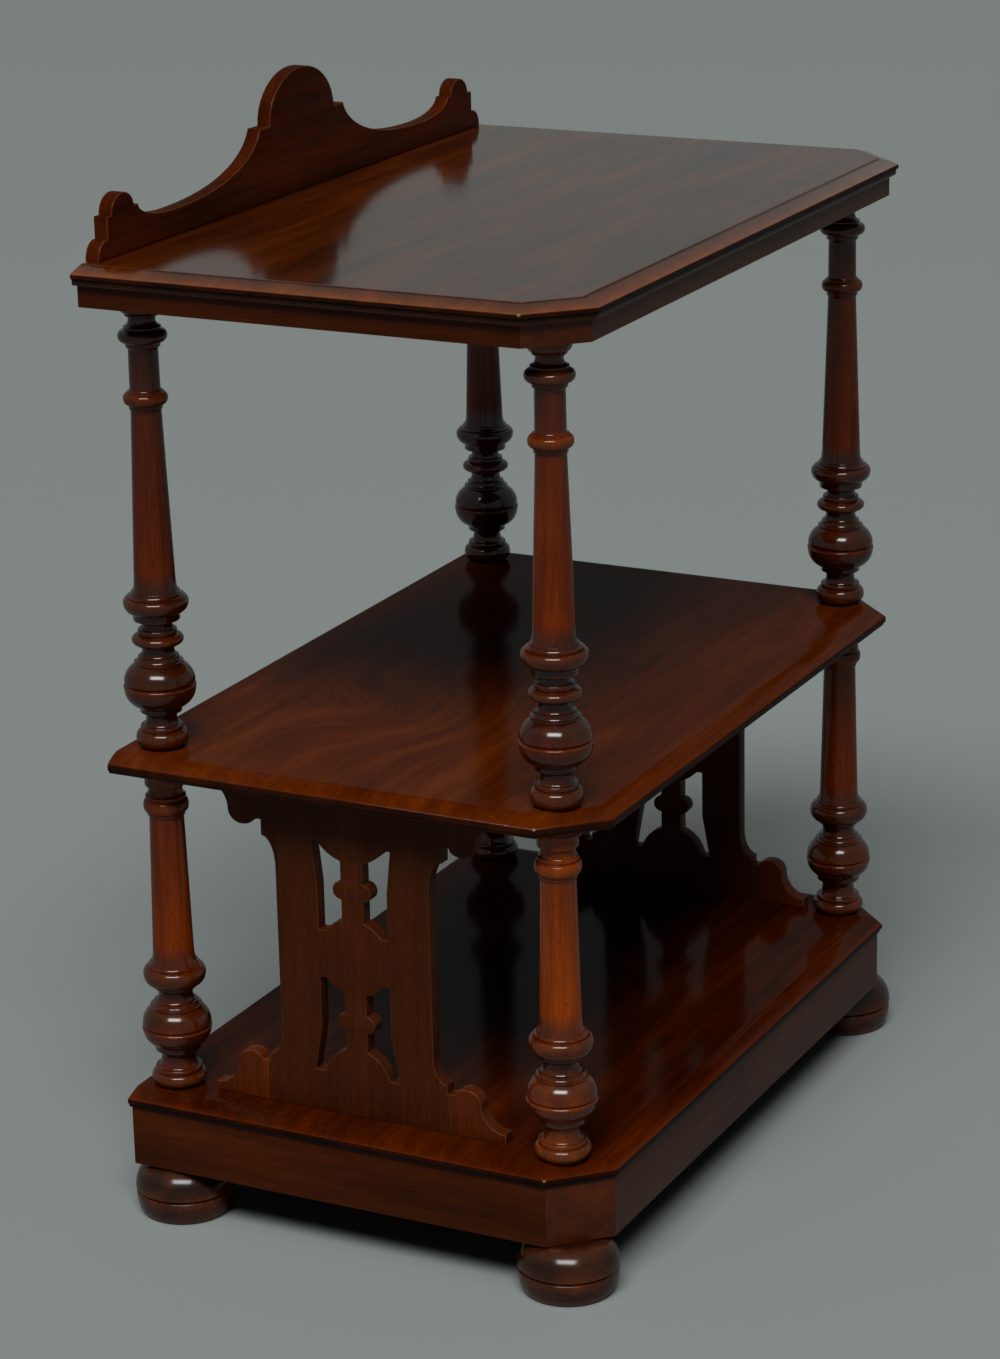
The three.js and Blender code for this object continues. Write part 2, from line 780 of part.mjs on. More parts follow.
// Stands a shape drawn in width and height across the etagere, about x = 0.
function standAcross(shape) {
  const depth = TRESTLE.thickness;
  const board = new THREE.ExtrudeGeometry(shape, { depth, bevelEnabled: false });
  board.translate(0, 0, -depth / 2);
  board.rotateX(Math.PI / 2);
  board.rotateZ(Math.PI / 2);
  return board;
}

function trestlePanel() {
  const t = TRESTLE;
  const height = LOWER_COLUMN;
  const half = new THREE.Path();
  half.moveTo(t.seamHalfWidth, 0);
  half.lineTo(t.seamHalfWidth, BRACKET.notchHeight);
  half.lineTo(t.lipHalfWidth, BRACKET.notchHeight);
  half.lineTo(t.lipHalfWidth, t.footLipHeight);
  turnTo(half, t.waistHalfWidth, t.footFlareHeight, true);
  half.lineTo(t.waistHalfWidth, height - t.headFlareDrop);
  turnTo(half, t.lipHalfWidth, height - t.headLipDrop, false);
  half.lineTo(t.lipHalfWidth, height - BRACKET.notchHeight);
  half.lineTo(t.seamHalfWidth, height - BRACKET.notchHeight);
  half.lineTo(t.seamHalfWidth, height);
  const shape = symmetrical(half);
  for (const points of openings()) {
    shape.holes.push(new THREE.Path(points), new THREE.Path(points.map(mirror)));
  }
  const depth = DOWEL.pieceDepth + JOINT_GAP;
  const drills = [-DOWEL.trestleOffset, DOWEL.trestleOffset].flatMap((y) => [
    dowelDrill(0, y, -OVERRUN, depth),
    dowelDrill(0, y, height - depth, height + OVERRUN),
  ]);
  return cut(standAcross(shape), drills);
}

// A scroll bracket, which stands on its toe at the foot of a trestle or hangs upside down
// as an ear at its head, and points to the front or to the back.
function bracket(isEar, pointsBack) {
  const b = BRACKET;
  const seam = TRESTLE.seamHalfWidth + JOINT_GAP;
  const outline = new THREE.Path();
  outline.moveTo(seam, 0);
  outline.lineTo(seam + b.length, 0);
  outline.lineTo(seam + b.length, b.toeHeight);
  turnTo(outline, seam + b.rimReach, b.rimHeight, true);
  turnTo(outline, seam + b.lobeReach, b.lobeHeight, false);
  turnTo(outline, seam + b.notchWidth, b.notchHeight, true);
  outline.lineTo(seam, b.notchHeight);
  const across = pointsBack ? 1 : -1;
  const points = outline
    .getPoints(OUTLINE_SEGMENTS)
    .map((p) => new THREE.Vector2(across * p.x, isEar ? LOWER_COLUMN - p.y : p.y));
  return standAcross(new THREE.Shape(points));
}

// Boards, with through holes for the spigots of the columns and blind ones for dowels.
const throughHoles = (board) =>
  corners.map(({ x, y }) => spigotDrill(x, y, -OVERRUN, board.thickness + OVERRUN));
const blindDepth = DOWEL.boardDepth + JOINT_GAP;
const blindBelow = ({ x, y }) => dowelDrill(x, y, -OVERRUN, blindDepth);
const blindAbove = (board) => ({ x, y }) =>
  dowelDrill(x, y, board.thickness - blindDepth, board.thickness + OVERRUN);
const topHoles = galleryDowels.map(blindAbove(TOP));
const middleHoles = [...throughHoles(MIDDLE), ...trestleDowels.map(blindBelow)];
const baseHoles = [...throughHoles(BASE), ...trestleDowels.map(blindAbove(BASE))];
place("top_board", mouldedBoard(TOP, topHoles), topWood, 0, 0, topLevel);
place("middle_shelf", mouldedBoard(MIDDLE, middleHoles), shelfWood, 0, 0, middleLevel);
place("base_board", mouldedBoard(BASE, baseHoles), shelfWood, 0, 0, baseLevel);
place("gallery_board", gallery(), galleryWood, 0, galleryBackY, galleryLevel);

// Frieze and plinth.
const socketDepth = SPIGOT.socketDepth + JOINT_GAP;
cornerFrame("frieze", FRIEZE, TOP, friezeLevel, (corner) => [
  spigotDrill(corner.x, corner.y, -OVERRUN, SPIGOT.friezeDepth + JOINT_GAP),
]);
cornerFrame("plinth", PLINTH, BASE, plinthLevel, (corner) => [
  spigotDrill(corner.x, corner.y, PLINTH.height - socketDepth, PLINTH.height + OVERRUN),
  spigotDrill(footX(corner), footY(corner), -OVERRUN, socketDepth),
]);

// Columns and feet.
for (const corner of corners) {
  const { name, x, y } = corner;
  place(`upper_column_${name}`, upperColumn(), columnWood, x, y, upperTierLevel);
  place(`lower_column_${name}`, lowerColumn(), columnWood, x, y, lowerTierLevel);
  place(`bun_foot_${name}`, bunFoot(), footWood, footX(corner), footY(corner), 0);
}

// Trestles with their brackets.
for (const { name, x, y } of trestles) {
  const add = (label, geometry) =>
    place(`trestle_${label}`, geometry, trestleWood, x, y, lowerTierLevel);
  add(`panel_${name}`, trestlePanel());
  for (const isEar of [false, true]) {
    const kind = isEar ? "ear" : "scroll";
    add(`${kind}_${name}_front`, bracket(isEar, false));
    add(`${kind}_${name}_back`, bracket(isEar, true));
  }
}

// Dowels.
function placeDowel(name, { x, y }, z) {
  const length = DOWEL.boardDepth + JOINT_GAP + DOWEL.pieceDepth;
  const peg = upright(DOWEL.radius, DOWEL_SEGMENTS, 0, 0, 0, length);
  place(name, peg, dowelWood, x, y, z);
}
for (const dowel of trestleDowels) {
  placeDowel(`foot_dowel_${dowel.name}`, dowel, baseLevel + BASE.thickness - DOWEL.boardDepth);
  placeDowel(`head_dowel_${dowel.name}`, dowel, middleLevel - JOINT_GAP - DOWEL.pieceDepth);
}
for (const dowel of galleryDowels) {
  placeDowel(`gallery_dowel_${dowel.name}`, dowel, topLevel + TOP.thickness - DOWEL.boardDepth);
}

export default group;
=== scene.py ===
# %% [markdown]
# A mahogany etagere of three tiers
#
# The real piece is a dining-room stand of the middle of the nineteenth century: a top with a
# shaped gallery at its back, a middle shelf and a base board on a plinth. Turned columns carry
# the boards one above the other, and a pierced trestle stands inside each end of the lower
# tier. All of it is mahogany under an old film of French polish.
#
# The construction model already says where each piece is and how large it is. This lesson
# gives the pieces their fine surfaces: round turnings, moulded edges, eased arrises and wood
# that has grain. The first cell loads the construction model as a fixed frame.

# %% Load the frame
import math

import bpy
from mathutils import Matrix, Vector


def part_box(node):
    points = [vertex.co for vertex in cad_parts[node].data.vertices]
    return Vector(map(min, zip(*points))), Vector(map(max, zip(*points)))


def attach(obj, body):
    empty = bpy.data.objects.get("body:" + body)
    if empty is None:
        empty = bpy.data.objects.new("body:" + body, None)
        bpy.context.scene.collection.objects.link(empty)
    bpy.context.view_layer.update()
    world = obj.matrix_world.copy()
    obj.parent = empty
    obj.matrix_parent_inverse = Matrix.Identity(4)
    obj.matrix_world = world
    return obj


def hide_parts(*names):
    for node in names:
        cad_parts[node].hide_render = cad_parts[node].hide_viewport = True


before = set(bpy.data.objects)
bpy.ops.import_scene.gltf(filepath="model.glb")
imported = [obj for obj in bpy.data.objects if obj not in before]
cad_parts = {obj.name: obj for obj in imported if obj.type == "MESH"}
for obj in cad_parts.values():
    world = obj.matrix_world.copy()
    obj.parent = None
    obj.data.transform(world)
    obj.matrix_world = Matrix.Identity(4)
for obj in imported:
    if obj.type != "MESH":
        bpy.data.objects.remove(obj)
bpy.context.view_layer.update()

MM = 0.001  # a millimetre in Blender's metres
BODY = "root"  # nothing on the etagere moves, so every piece rides on its one body

print("nodes in the frame:", len(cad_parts))

# %% [markdown]
# The camera
#
# The photograph was taken with a long lens from about eye height, left of the left end and
# turned towards the front. A Blender camera looks along its own -Z, so its direction is built
# from a turn about the upright, a downward tilt and a small roll of the hand-held camera.

# %% Camera
CAMERA_PLACE = (-3.1273, -1.5750, 1.5902)
CAMERA_AZIMUTH = math.radians(-62.90)
CAMERA_TILT = math.radians(18.067)
CAMERA_ROLL = math.radians(-1.267)
CAMERA_LENS = 102.2  # millimetres, on a sensor 36 mm along the picture's long side
CAMERA_SENSOR = 36


def camera_axes(azimuth, tilt, roll):
    """The camera's right, up and backward directions as the columns of a matrix."""
    level = math.cos(tilt)
    back = Vector((math.sin(azimuth) * level, -math.cos(azimuth) * level, math.sin(tilt)))
    right = (-back).cross(Vector((0, 0, 1))).normalized()
    up = right.cross(-back)
    rolled_right = right * math.cos(roll) + up * math.sin(roll)
    rolled_up = up * math.cos(roll) - right * math.sin(roll)
    return Matrix((rolled_right, rolled_up, back)).transposed()


camera_data = bpy.data.cameras.new("camera")
camera_data.lens = CAMERA_LENS
camera_data.sensor_width = CAMERA_SENSOR
camera = bpy.data.objects.new("camera", camera_data)
turn = camera_axes(CAMERA_AZIMUTH, CAMERA_TILT, CAMERA_ROLL).to_4x4()
camera.matrix_world = Matrix.Translation(CAMERA_PLACE) @ turn
bpy.context.scene.collection.objects.link(camera)
bpy.context.scene.camera = camera
print("camera looks along", [round(c, 3) for c in -turn.col[2].to_3d()])

# %% [markdown]
# A helper that finishes a piece
#
# Every piece below ends in the same way: its mesh becomes an object in the frame's own
# coordinates, it rides on the etagere's body, and it stands for one node of the construction,
# which it hides. Two numbers on each point of a mesh steer the finish later:
# `wear` is 1 where hands and dusters rub the polish away, and `cavity` is 1 where the wood is
# painted darkest: partly for wax and dirt out of reach, partly as painted shade in hollows,
# under the noses of the boards and among the rings and bulbs.
#
# The construction's nodes are faceted, so each one is replaced by its finer piece. A bevel and a
# smoothing modifier on those nodes would be quicker, but they can't cut a ring or a moulding.

# %% Finish a piece
SHARP_ANGLE = math.radians(34)
smooth_pieces = []


def finish_piece(name, points, faces, wear, cavity, node):
    """Makes a mesh in millimetres into a piece that replaces a node of the frame."""
    mesh = bpy.data.meshes.new(name)
    mesh.from_pydata([Vector(point) * MM for point in points], [], faces)
    mesh.validate()
    for attribute_name, values in (("wear", wear), ("cavity", cavity)):
        attribute = mesh.attributes.new(attribute_name, "FLOAT", "POINT")
        attribute.data.foreach_set("value", values)
    mesh.shade_smooth()
    mesh.set_sharp_from_angle(angle=SHARP_ANGLE)
    piece = bpy.data.objects.new(name, mesh)
    bpy.context.scene.collection.objects.link(piece)
    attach(piece, BODY)
    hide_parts(node)
    smooth_pieces.append(piece)


def box_mm(node):
    """The lowest and highest corners of a node of the frame, in millimetres."""
    low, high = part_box(node)
    return low / MM, high / MM


def share_of(value, full):
    """How far value has gone towards full, held between 0 and 1."""
    return min(max(value / full, 0), 1)


print("edges sharper than", round(math.degrees(SHARP_ANGLE)), "degrees stay sharp")

# %% [markdown]
# How a turner works
#
# Columns and feet come off a lathe, so each is one profile spun about its axis. A turner
# reads the profile as a list of members: a fillet is a short cylinder, a cove a hollow, an
# ovolo a swelling, and a ring a half round. The class below keeps that way of thinking. It
# starts at the top, and each member says the radius that it ends at and how far it drops.

# %% The turner's profile
QUARTER_STEPS = 9


class Turning:
    """A profile worked downwards from a start radius and height, in millimetres."""

    def __init__(self, radius, height):
        self.points = [(radius, height)]

    def line(self, radius, drop=0):
        """A straight cut, level when it has no drop."""
        self.points.append((radius, self.points[-1][1] - drop))
        return self

    def quarter(self, radius, drop, leaves_level):
        """A quarter of an ellipse, which leaves its start level or upright."""
        start_radius, start_height = self.points[-1]
        for step in range(1, QUARTER_STEPS + 1):
            angle = step / QUARTER_STEPS * math.pi / 2
            level, upright = math.sin(angle), 1 - math.cos(angle)
            across, along = (level, upright) if leaves_level else (upright, level)
            reach = start_radius + (radius - start_radius) * across
            self.points.append((reach, start_height - drop * along))
        return self

    def swell(self, middle_radius, end_radius, drop, peak_share=0.5):
        """A ring, or a hollow, that is widest or narrowest at its middle radius."""
        self.quarter(middle_radius, drop * peak_share, leaves_level=True)
        return self.quarter(end_radius, drop * (1 - peak_share), leaves_level=False)

    def slope(self, radius, drop, bend_share):
        """A long taper whose end curves outwards, as a shaft does above its foot."""
        start_radius, start_height = self.points[-1]
        for step in range(1, 2 * QUARTER_STEPS + 1):
            along = step / (2 * QUARTER_STEPS)
            across = (1 - bend_share) * along + bend_share * along**4
            reach = start_radius + (radius - start_radius) * across
            self.points.append((reach, start_height - drop * along))
        return self


print("a quarter round has", QUARTER_STEPS, "steps")

# %% [markdown]
# A real edge is never razor sharp: the turner takes it off with a touch of sandpaper, and a
# century and a half of dusting does the rest. `eased` trims each hard corner of a profile by
# half a millimetre, which also gives every edge its own thin highlight.

# %% Ease a profile
EASE = 0.5
CORNER_ANGLE = math.radians(30)


def eased(points):
    """The profile with each hard corner cut back to a small chamfer of two turns."""
    result = [points[0]]
    for before, corner, after in zip(points, points[1:], points[2:]):
        arriving = Vector(corner) - Vector(before)
        leaving = Vector(after) - Vector(corner)
        reach = min(EASE, arriving.length / 3, leaving.length / 3)
        if reach > 0 and arriving.angle(leaving) > CORNER_ANGLE:
            start = Vector(corner) - arriving.normalized() * reach
            end = Vector(corner) + leaving.normalized() * reach
            middle = (start + end + 2 * Vector(corner)) / 4
            result += [tuple(start), tuple(middle), tuple(end)]
        else:
            result.append(corner)
    return result + [points[-1]]


print("hard corners are cut back by", EASE, "mm")

# %% [markdown]
# Wax gathers in the hollows of a turning and hands rub its crests. So each point of a profile is
# compared with a short stretch on both sides of it: a point that lies deeper than its neighbours
# is painted darker, for its wax and as painted shade, and one that stands out from them is
# rubbed. Hands wipe the plain shafts clean, while the stretches of rings and bulbs are painted
# darker all over: partly for the old dark polish that they keep, partly as painted shade on
# their undersides and in their hollows. Blender can also find hollows by itself while it
# renders, but that is slow and differs from one renderer to another.

# %% Rubbed and hidden stretches
CAVITY_WINDOW = 7  # how far along the profile a neighbour counts
CAVITY_DEPTH = 9  # this deep below its neighbours, a point is fully dark
TURNED_WINDOWS = (10, 14, 18, 22)  # several, so that the dark fades out along a shaft
TURNED_LEAST = 2  # a radius that changes no more than this is still a plain shaft
TURNED_DEPTH = 9  # where it changes this much more, the wood is all turnings
# how much darker the rings and bulbs are painted: partly old polish, partly painted shade
TURNED_DARKNESS = 0.9
CREST_WINDOW = 6
CREST_HEIGHT = 3.2  # this far above their mean, a point is fully rubbed


def turned_share(points, height):
    """How much of the wood near a height is rings and bulbs, from 0 to 1."""
    shares = []
    for window in TURNED_WINDOWS:
        members = [r for r, h in points if abs(h - height) < window and r > 0] or [0]
        shares.append(share_of(max(members) - min(members) - TURNED_LEAST, TURNED_DEPTH))
    return sum(shares) / len(shares)


def rubbed_and_darkened(points):
    """How rubbed and how hidden each point of a profile is, from 0 to 1."""
    wear, cavity = [], []
    for radius, height in points:
        around = [r for r, h in points if abs(h - height) < CAVITY_WINDOW]
        close = [r for r, h in points if abs(h - height) < CREST_WINDOW]
        # the painted darkness: wax and painted shade in hollows, old polish and painted shade in
        # turnings
        old_polish_and_shade = TURNED_DARKNESS * turned_share(points, height)
        cavity.append(max(share_of(max(around) - radius, CAVITY_DEPTH), old_polish_and_shade))
        wear.append(share_of(radius - sum(close) / len(close), CREST_HEIGHT))
    return wear, cavity


print("a crest", CREST_HEIGHT, "mm high is rubbed bare, and a hollow", CAVITY_DEPTH, "mm deep is dark")

# %% [markdown]
# The lathe now turns. `spun` makes the profile into a mesh about the upright axis of its node:
# a ring of points for each point of the profile, and faces between the rings. A screw modifier
# could spin it too. Here the rings are written out, so that each point keeps its wear and wax.

# %% Spin a profile
SPIN_SEGMENTS = 96


def spun(node, turning):
    """A profile spun about the upright axis of its node, closed on the axis at both ends."""
    low, high = box_mm(node)
    axis = (low + high) / 2
    profile = eased(turning.points)
    ring_wear, ring_cavity = rubbed_and_darkened(profile)
    points, wear, cavity, faces = [], [], [], []
    for (radius, height), rubbed, darkened in zip(profile[1:-1], ring_wear[1:-1], ring_cavity[1:-1]):
        for segment in range(SPIN_SEGMENTS):
            angle = segment / SPIN_SEGMENTS * math.tau
            across = Vector((math.cos(angle), math.sin(angle))) * radius
            points.append((axis[0] + across.x, axis[1] + across.y, height))
            wear.append(rubbed)
            cavity.append(darkened)
    rings = len(profile) - 2
    top, bottom = len(points), len(points) + 1
    for _, height in (profile[0], profile[-1]):
        points.append((axis[0], axis[1], height))
        wear.append(0)
        cavity.append(0)
    for segment in range(SPIN_SEGMENTS):
        following = (segment + 1) % SPIN_SEGMENTS
        faces.append((top, segment, following))
        last = (rings - 1) * SPIN_SEGMENTS
        faces.append((bottom, last + following, last + segment))
        for start in range(0, last, SPIN_SEGMENTS):
            below = start + SPIN_SEGMENTS
            faces.append((start + segment, below + segment, below + following, start + following))
    finish_piece(f"{node}_turned", points, faces, wear, cavity, node)


print("a turned piece has", SPIN_SEGMENTS, "segments round")

# %% [markdown]
# Upper columns
#
# Each upper column has a cup under the frieze, a ring, a short shaft, a second ring, the long
# tapered shaft and a foot of rings, a waist and a grooved bulb. The heights add up from the
# top, and the long shaft takes whatever is left between the two boards, just as a turner marks
# out the ends first. The spigots at the two ends are hidden in the boards, so they stay with
# the construction model.
#
# The named sizes below are radii, and each drop is how far a member comes down, in millimetres.
# Both tiers have the same shaft, bulb and foot at other sizes, so one helper makes each.

# %% Shaft, bulb and foot
NICK = 1  # a cut this deep sets one member off from the next
GROOVE_WIDTH = 3
GROOVE_DEPTH = 2
GROOVE_LIP = ((-0.7, 0.5), (0, -0.1), (0.35, -0.8), (0.4, -1.6))  # the rounded lower edge
BULB_FULLNESS = 2.6  # 2 is an ellipse


def add_shaft(turning, shaft, ring, bottom):
    """The tapered shaft with its flare, then the step and fillet of the ring under it."""
    drop = turning.points[-1][1] - bottom - shaft["below"]
    turning.line(shaft["foot"], drop=drop).slope(shaft["flare"], drop=20, bend_share=0.7)
    turning.line(ring["step"]).quarter(ring["fillet"], drop=4, leaves_level=False)
    return turning.line(ring["fillet"] - 0.8, drop=1)


def add_bulb(turning, bulb, end_radius):
    """A full ball cut level at both ends, with a groove turned near its widest line."""
    start_radius, start_height = turning.points[-1]
    half = bulb["drop"] / 2
    steps = 3 * QUARTER_STEPS
    groove_height = start_height - bulb["drop"] * bulb["groove_share"]
    for step in range(1, steps + 1):
        level = math.cos(step / steps * math.pi)
        cut_radius = start_radius if level > 0 else end_radius
        cut = (1 - (cut_radius / bulb["crest"]) ** 2) * abs(level) ** BULB_FULLNESS
        radius = bulb["crest"] * math.sqrt(1 - cut)
        height = start_height - half * (1 - level)
        if abs(height - groove_height) < GROOVE_WIDTH / 2:
            continue
        if height < groove_height and turning.points[-1][1] > groove_height:
            rim = turning.points[-1][0]
            turning.points.append((rim, groove_height + GROOVE_WIDTH / 2))
            turning.points.append((rim - GROOVE_DEPTH, groove_height))
            foot = groove_height - GROOVE_WIDTH / 2
            turning.points += [(radius + out, foot + up) for out, up in GROOVE_LIP]
        if turning.points[-1][1] > height:
            turning.points.append((radius, height))


def add_bulb_and_foot(turning, bulb, foot, bottom):
    """A shouldered bulb, then its collar, a neck, a bead and a torus down to the board."""
    turning.line(bulb["fillet"]).line(bulb["fillet"], drop=bulb["fillet_drop"])
    turning.quarter(bulb["shoulder"], drop=bulb["cove_drop"], leaves_level=False)
    turning.line(bulb["shoulder"], drop=bulb["shoulder_drop"])
    turning.line(bulb["shoulder"] - NICK, drop=0.5)
    turning.line(bulb["shoulder"], drop=bulb["rest_drop"])
    add_bulb(turning, bulb, foot["collar"])
    turning.line(foot["collar"], drop=foot["collar_drop"])
    turning.swell(foot["neck"], foot["bead_top"], drop=foot["neck_drop"], peak_share=0.42)
    turning.line(foot["bead"] - NICK).swell(foot["bead"], foot["bead"] - 0.6, drop=4.5)
    turning.swell(foot["torus"], foot["foot"], drop=foot["torus_drop"])
    return turning.line(foot["foot"], drop=turning.points[-1][1] - bottom).line(0)


print("a bulb's groove is", GROOVE_WIDTH, "mm wide and", GROOVE_DEPTH, "mm deep")

# %% [markdown]
# The upper column's own sizes, member by member. Each was read off the front column, where the
# rings show best, against the distance between the two boards.

# %% Upper columns
UPPER_CAP = {"rim": 20.5, "lip": 15.2, "neck": 12.1}
UPPER_RING_1 = {"fillet": 16.8, "crest": 22, "foot": 15.5}
UPPER_RING_2 = {"fillet": 16, "crest": 19.9, "foot": 15}
UPPER_SHAFT = {"top": 13.4, "middle": 13.7, "foot": 18.4, "flare": 20.5, "below": 166.5}
UPPER_RING_3 = {"step": 22, "fillet": 26, "crest": 29.5, "foot": 21.2}
UPPER_WAIST = {"throat": 14, "ringlet": 17.8, "ring": 23.5, "ring_foot": 17.5, "waist": 14.7}
UPPER_BULB = {
    "fillet": 18.6, "fillet_drop": 1, "cove_drop": 4, "shoulder": 22.3, "shoulder_drop": 1.4,
    "rest_drop": 0.7, "crest": 32.5, "drop": 41, "groove_share": 0.44,
}
UPPER_FOOT = {
    "collar": 19, "collar_drop": 4, "neck": 14, "neck_drop": 12.5, "bead_top": 17, "bead": 19.4,
    "torus": 23.8, "torus_drop": 14.5, "foot": 19,
}


def upper_column_profile(top, bottom):
    """The members of an upper column from the frieze down to the shelf."""
    cap, ring_1, ring_2 = UPPER_CAP, UPPER_RING_1, UPPER_RING_2
    shaft, ring_3, waist = UPPER_SHAFT, UPPER_RING_3, UPPER_WAIST
    turning = (
        Turning(0, top)
        .line(cap["rim"])
        .line(cap["rim"], drop=2.5)
        .quarter(cap["lip"], drop=10, leaves_level=False)
        .line(cap["lip"] - NICK)
        .swell(cap["lip"], cap["neck"] + 0.6, drop=3)
        .line(cap["neck"], drop=2.5)
        .quarter(ring_1["fillet"], drop=6.5, leaves_level=False)
        .line(ring_1["fillet"], drop=1.4)
        .line(ring_1["fillet"] - NICK, drop=0.8)
        .line(ring_1["fillet"], drop=0.8)
        .swell(ring_1["crest"], ring_1["foot"] + 1.5, drop=11)
        .line(ring_1["foot"])
        .line(ring_1["foot"], drop=4)
        .quarter(shaft["top"], drop=4, leaves_level=True)
        .line(shaft["middle"], drop=33.5)
        .quarter(ring_2["fillet"], drop=2.5, leaves_level=False)
        .line(ring_2["fillet"], drop=1.5)
        .swell(ring_2["crest"], ring_2["foot"] + 1.4, drop=10.5)
        .line(ring_2["foot"])
        .line(ring_2["foot"], drop=4)
        .quarter(shaft["middle"], drop=3, leaves_level=True)
    )
    turning = (
        add_shaft(turning, shaft, ring_3, bottom)
        .swell(ring_3["crest"], ring_3["foot"], drop=15, peak_share=0.34)
        .line(ring_3["foot"], drop=6.5)
        .quarter(waist["throat"], drop=4.2, leaves_level=True)
        .line(waist["throat"], drop=4.3)
        .line(waist["ringlet"] - NICK)
        .swell(waist["ringlet"], waist["ringlet"] - 0.8, drop=5)
        .swell(waist["ring"], waist["ring_foot"], drop=10)
        .swell(waist["waist"], UPPER_BULB["fillet"] - NICK, drop=10.4, peak_share=0.45)
    )
    return add_bulb_and_foot(turning, UPPER_BULB, UPPER_FOOT, bottom)


print("upper shaft, from", UPPER_SHAFT["top"], "to", UPPER_SHAFT["flare"], "mm in radius")

# %% [markdown]
# The four upper columns are one turning cut four times. Each fills the height between the
# shelf and the frieze, less the thin gap that the glue takes at each seat.

# %% Place the upper columns
CORNERS = ("front_left", "front_right", "back_left", "back_right")
JOINT_GAP = 0.3

shelf_top = box_mm("middle_shelf")[1].z + JOINT_GAP
frieze_bottom = box_mm("frieze_front_rail")[0].z - JOINT_GAP
for corner in CORNERS:
    profile = upper_column_profile(frieze_bottom, shelf_top)
    spun(f"upper_column_{corner}", profile)
print("upper columns:", round(frieze_bottom - shelf_top, 1), "mm between their seats")

# %% [markdown]
# Lower columns
#
# The lower columns carry more, so the turner made them stouter and gave them one ring fewer:
# an abacus, a neck and a ring at the head, the tapered shaft, and below it a broad ring, a
# waist with a small bead, the grooved bulb and a foot like that of the upper columns. The same
# helpers make the shaft, the bulb and the foot from this tier's own sizes.

# %% Lower columns
LOWER_CAP = {"rim": 21, "fillet": 18.6, "neck": 15.7}
LOWER_RING_1 = {"fillet": 18.5, "crest": 20.8, "foot": 17.2}
LOWER_SHAFT = {"top": 15.9, "foot": 18.7, "flare": 20.7, "below": 142}
LOWER_RING_3 = {"step": 22, "fillet": 25, "crest": 29, "foot": 20}
LOWER_WAIST = 16
LOWER_BULB = {
    "fillet": 20.4, "fillet_drop": 0.9, "cove_drop": 3.2, "shoulder": 24, "shoulder_drop": 1.3,
    "rest_drop": 0.5, "crest": 32, "drop": 37, "groove_share": 0.48,
}
LOWER_FOOT = {
    "collar": 21.5, "collar_drop": 4.5, "neck": 16, "neck_drop": 16.9, "bead_top": 19, "bead": 22,
    "torus": 25.6, "torus_drop": 11.6, "foot": 21,
}


def lower_column_profile(top, bottom):
    """The members of a lower column from the shelf down to the base board."""
    cap, ring_1, shaft, ring_3 = LOWER_CAP, LOWER_RING_1, LOWER_SHAFT, LOWER_RING_3
    turning = (
        Turning(0, top)
        .line(cap["rim"])
        .line(cap["rim"], drop=5)
        .swell(cap["rim"] + 0.9, cap["rim"] - 0.6, drop=4)
        .quarter(cap["fillet"], drop=5, leaves_level=True)
        .line(cap["fillet"], drop=5)
        .quarter(cap["neck"], drop=2.5, leaves_level=True)
        .line(cap["neck"], drop=2.5)
        .quarter(ring_1["fillet"], drop=5, leaves_level=False)
        .line(ring_1["fillet"], drop=2.5)
        .line(ring_1["fillet"] - 1.2, drop=0.9)
        .line(ring_1["fillet"], drop=0.9)
        .swell(ring_1["crest"], ring_1["foot"] + 1.2, drop=11.1)
        .line(ring_1["foot"])
        .line(ring_1["foot"], drop=3.6)
        .quarter(shaft["top"], drop=3, leaves_level=True)
    )
    turning = (
        add_shaft(turning, shaft, ring_3, bottom)
        .swell(ring_3["crest"], ring_3["foot"] + 2, drop=17.4, peak_share=0.38)
        .line(ring_3["foot"])
        .line(ring_3["foot"], drop=3.2)
        .swell(LOWER_WAIST, LOWER_BULB["fillet"] - NICK, drop=13.5)
    )
    return add_bulb_and_foot(turning, LOWER_BULB, LOWER_FOOT, bottom)


base_top = box_mm("base_board")[1].z + JOINT_GAP
shelf_bottom = box_mm("middle_shelf")[0].z - JOINT_GAP
for corner in CORNERS:
    profile = lower_column_profile(shelf_bottom, base_top)
    spun(f"lower_column_{corner}", profile)
print("lower columns:", round(shelf_bottom - base_top, 1), "mm between their seats")

# %% [markdown]
# Bun feet
#
# A bun foot is a flattened ball. Its dome rolls out from under the plinth to the widest line,
# one V groove runs round just below that, and the lower half tucks in to a flat sole. A scaled
# sphere would come close, but a turner's profile gives the sole, the groove and each half its
# own curve.

# %% Bun feet
FOOT_RADII = {"top": 24, "belly": 46.5, "lower": 46, "sole": 38}
FOOT_GROOVE = {"height": 24, "half_width": 1.7, "depth": 2.6}


def bun_foot_profile(top, sole):
    """A bun foot from the plinth down to the floor."""
    radii, half_width = FOOT_RADII, FOOT_GROOVE["half_width"]
    groove_top = FOOT_GROOVE["height"] + half_width
    groove_foot = FOOT_GROOVE["height"] - half_width
    return (
        Turning(0, top)
        .line(radii["top"])
        .quarter(radii["belly"], drop=top - groove_top, leaves_level=True)
        .line(radii["lower"] - FOOT_GROOVE["depth"], drop=half_width)
        .line(radii["lower"], drop=half_width)
        .quarter(radii["sole"], drop=groove_foot - sole, leaves_level=False)
        .line(0)
    )


plinth_bottom = box_mm("plinth_front_rail")[0].z - JOINT_GAP
for corner in CORNERS:
    node = f"bun_foot_{corner}"
    spun(node, bun_foot_profile(plinth_bottom, box_mm(node)[0].z))
print("feet stand", round(plinth_bottom, 1), "mm high")
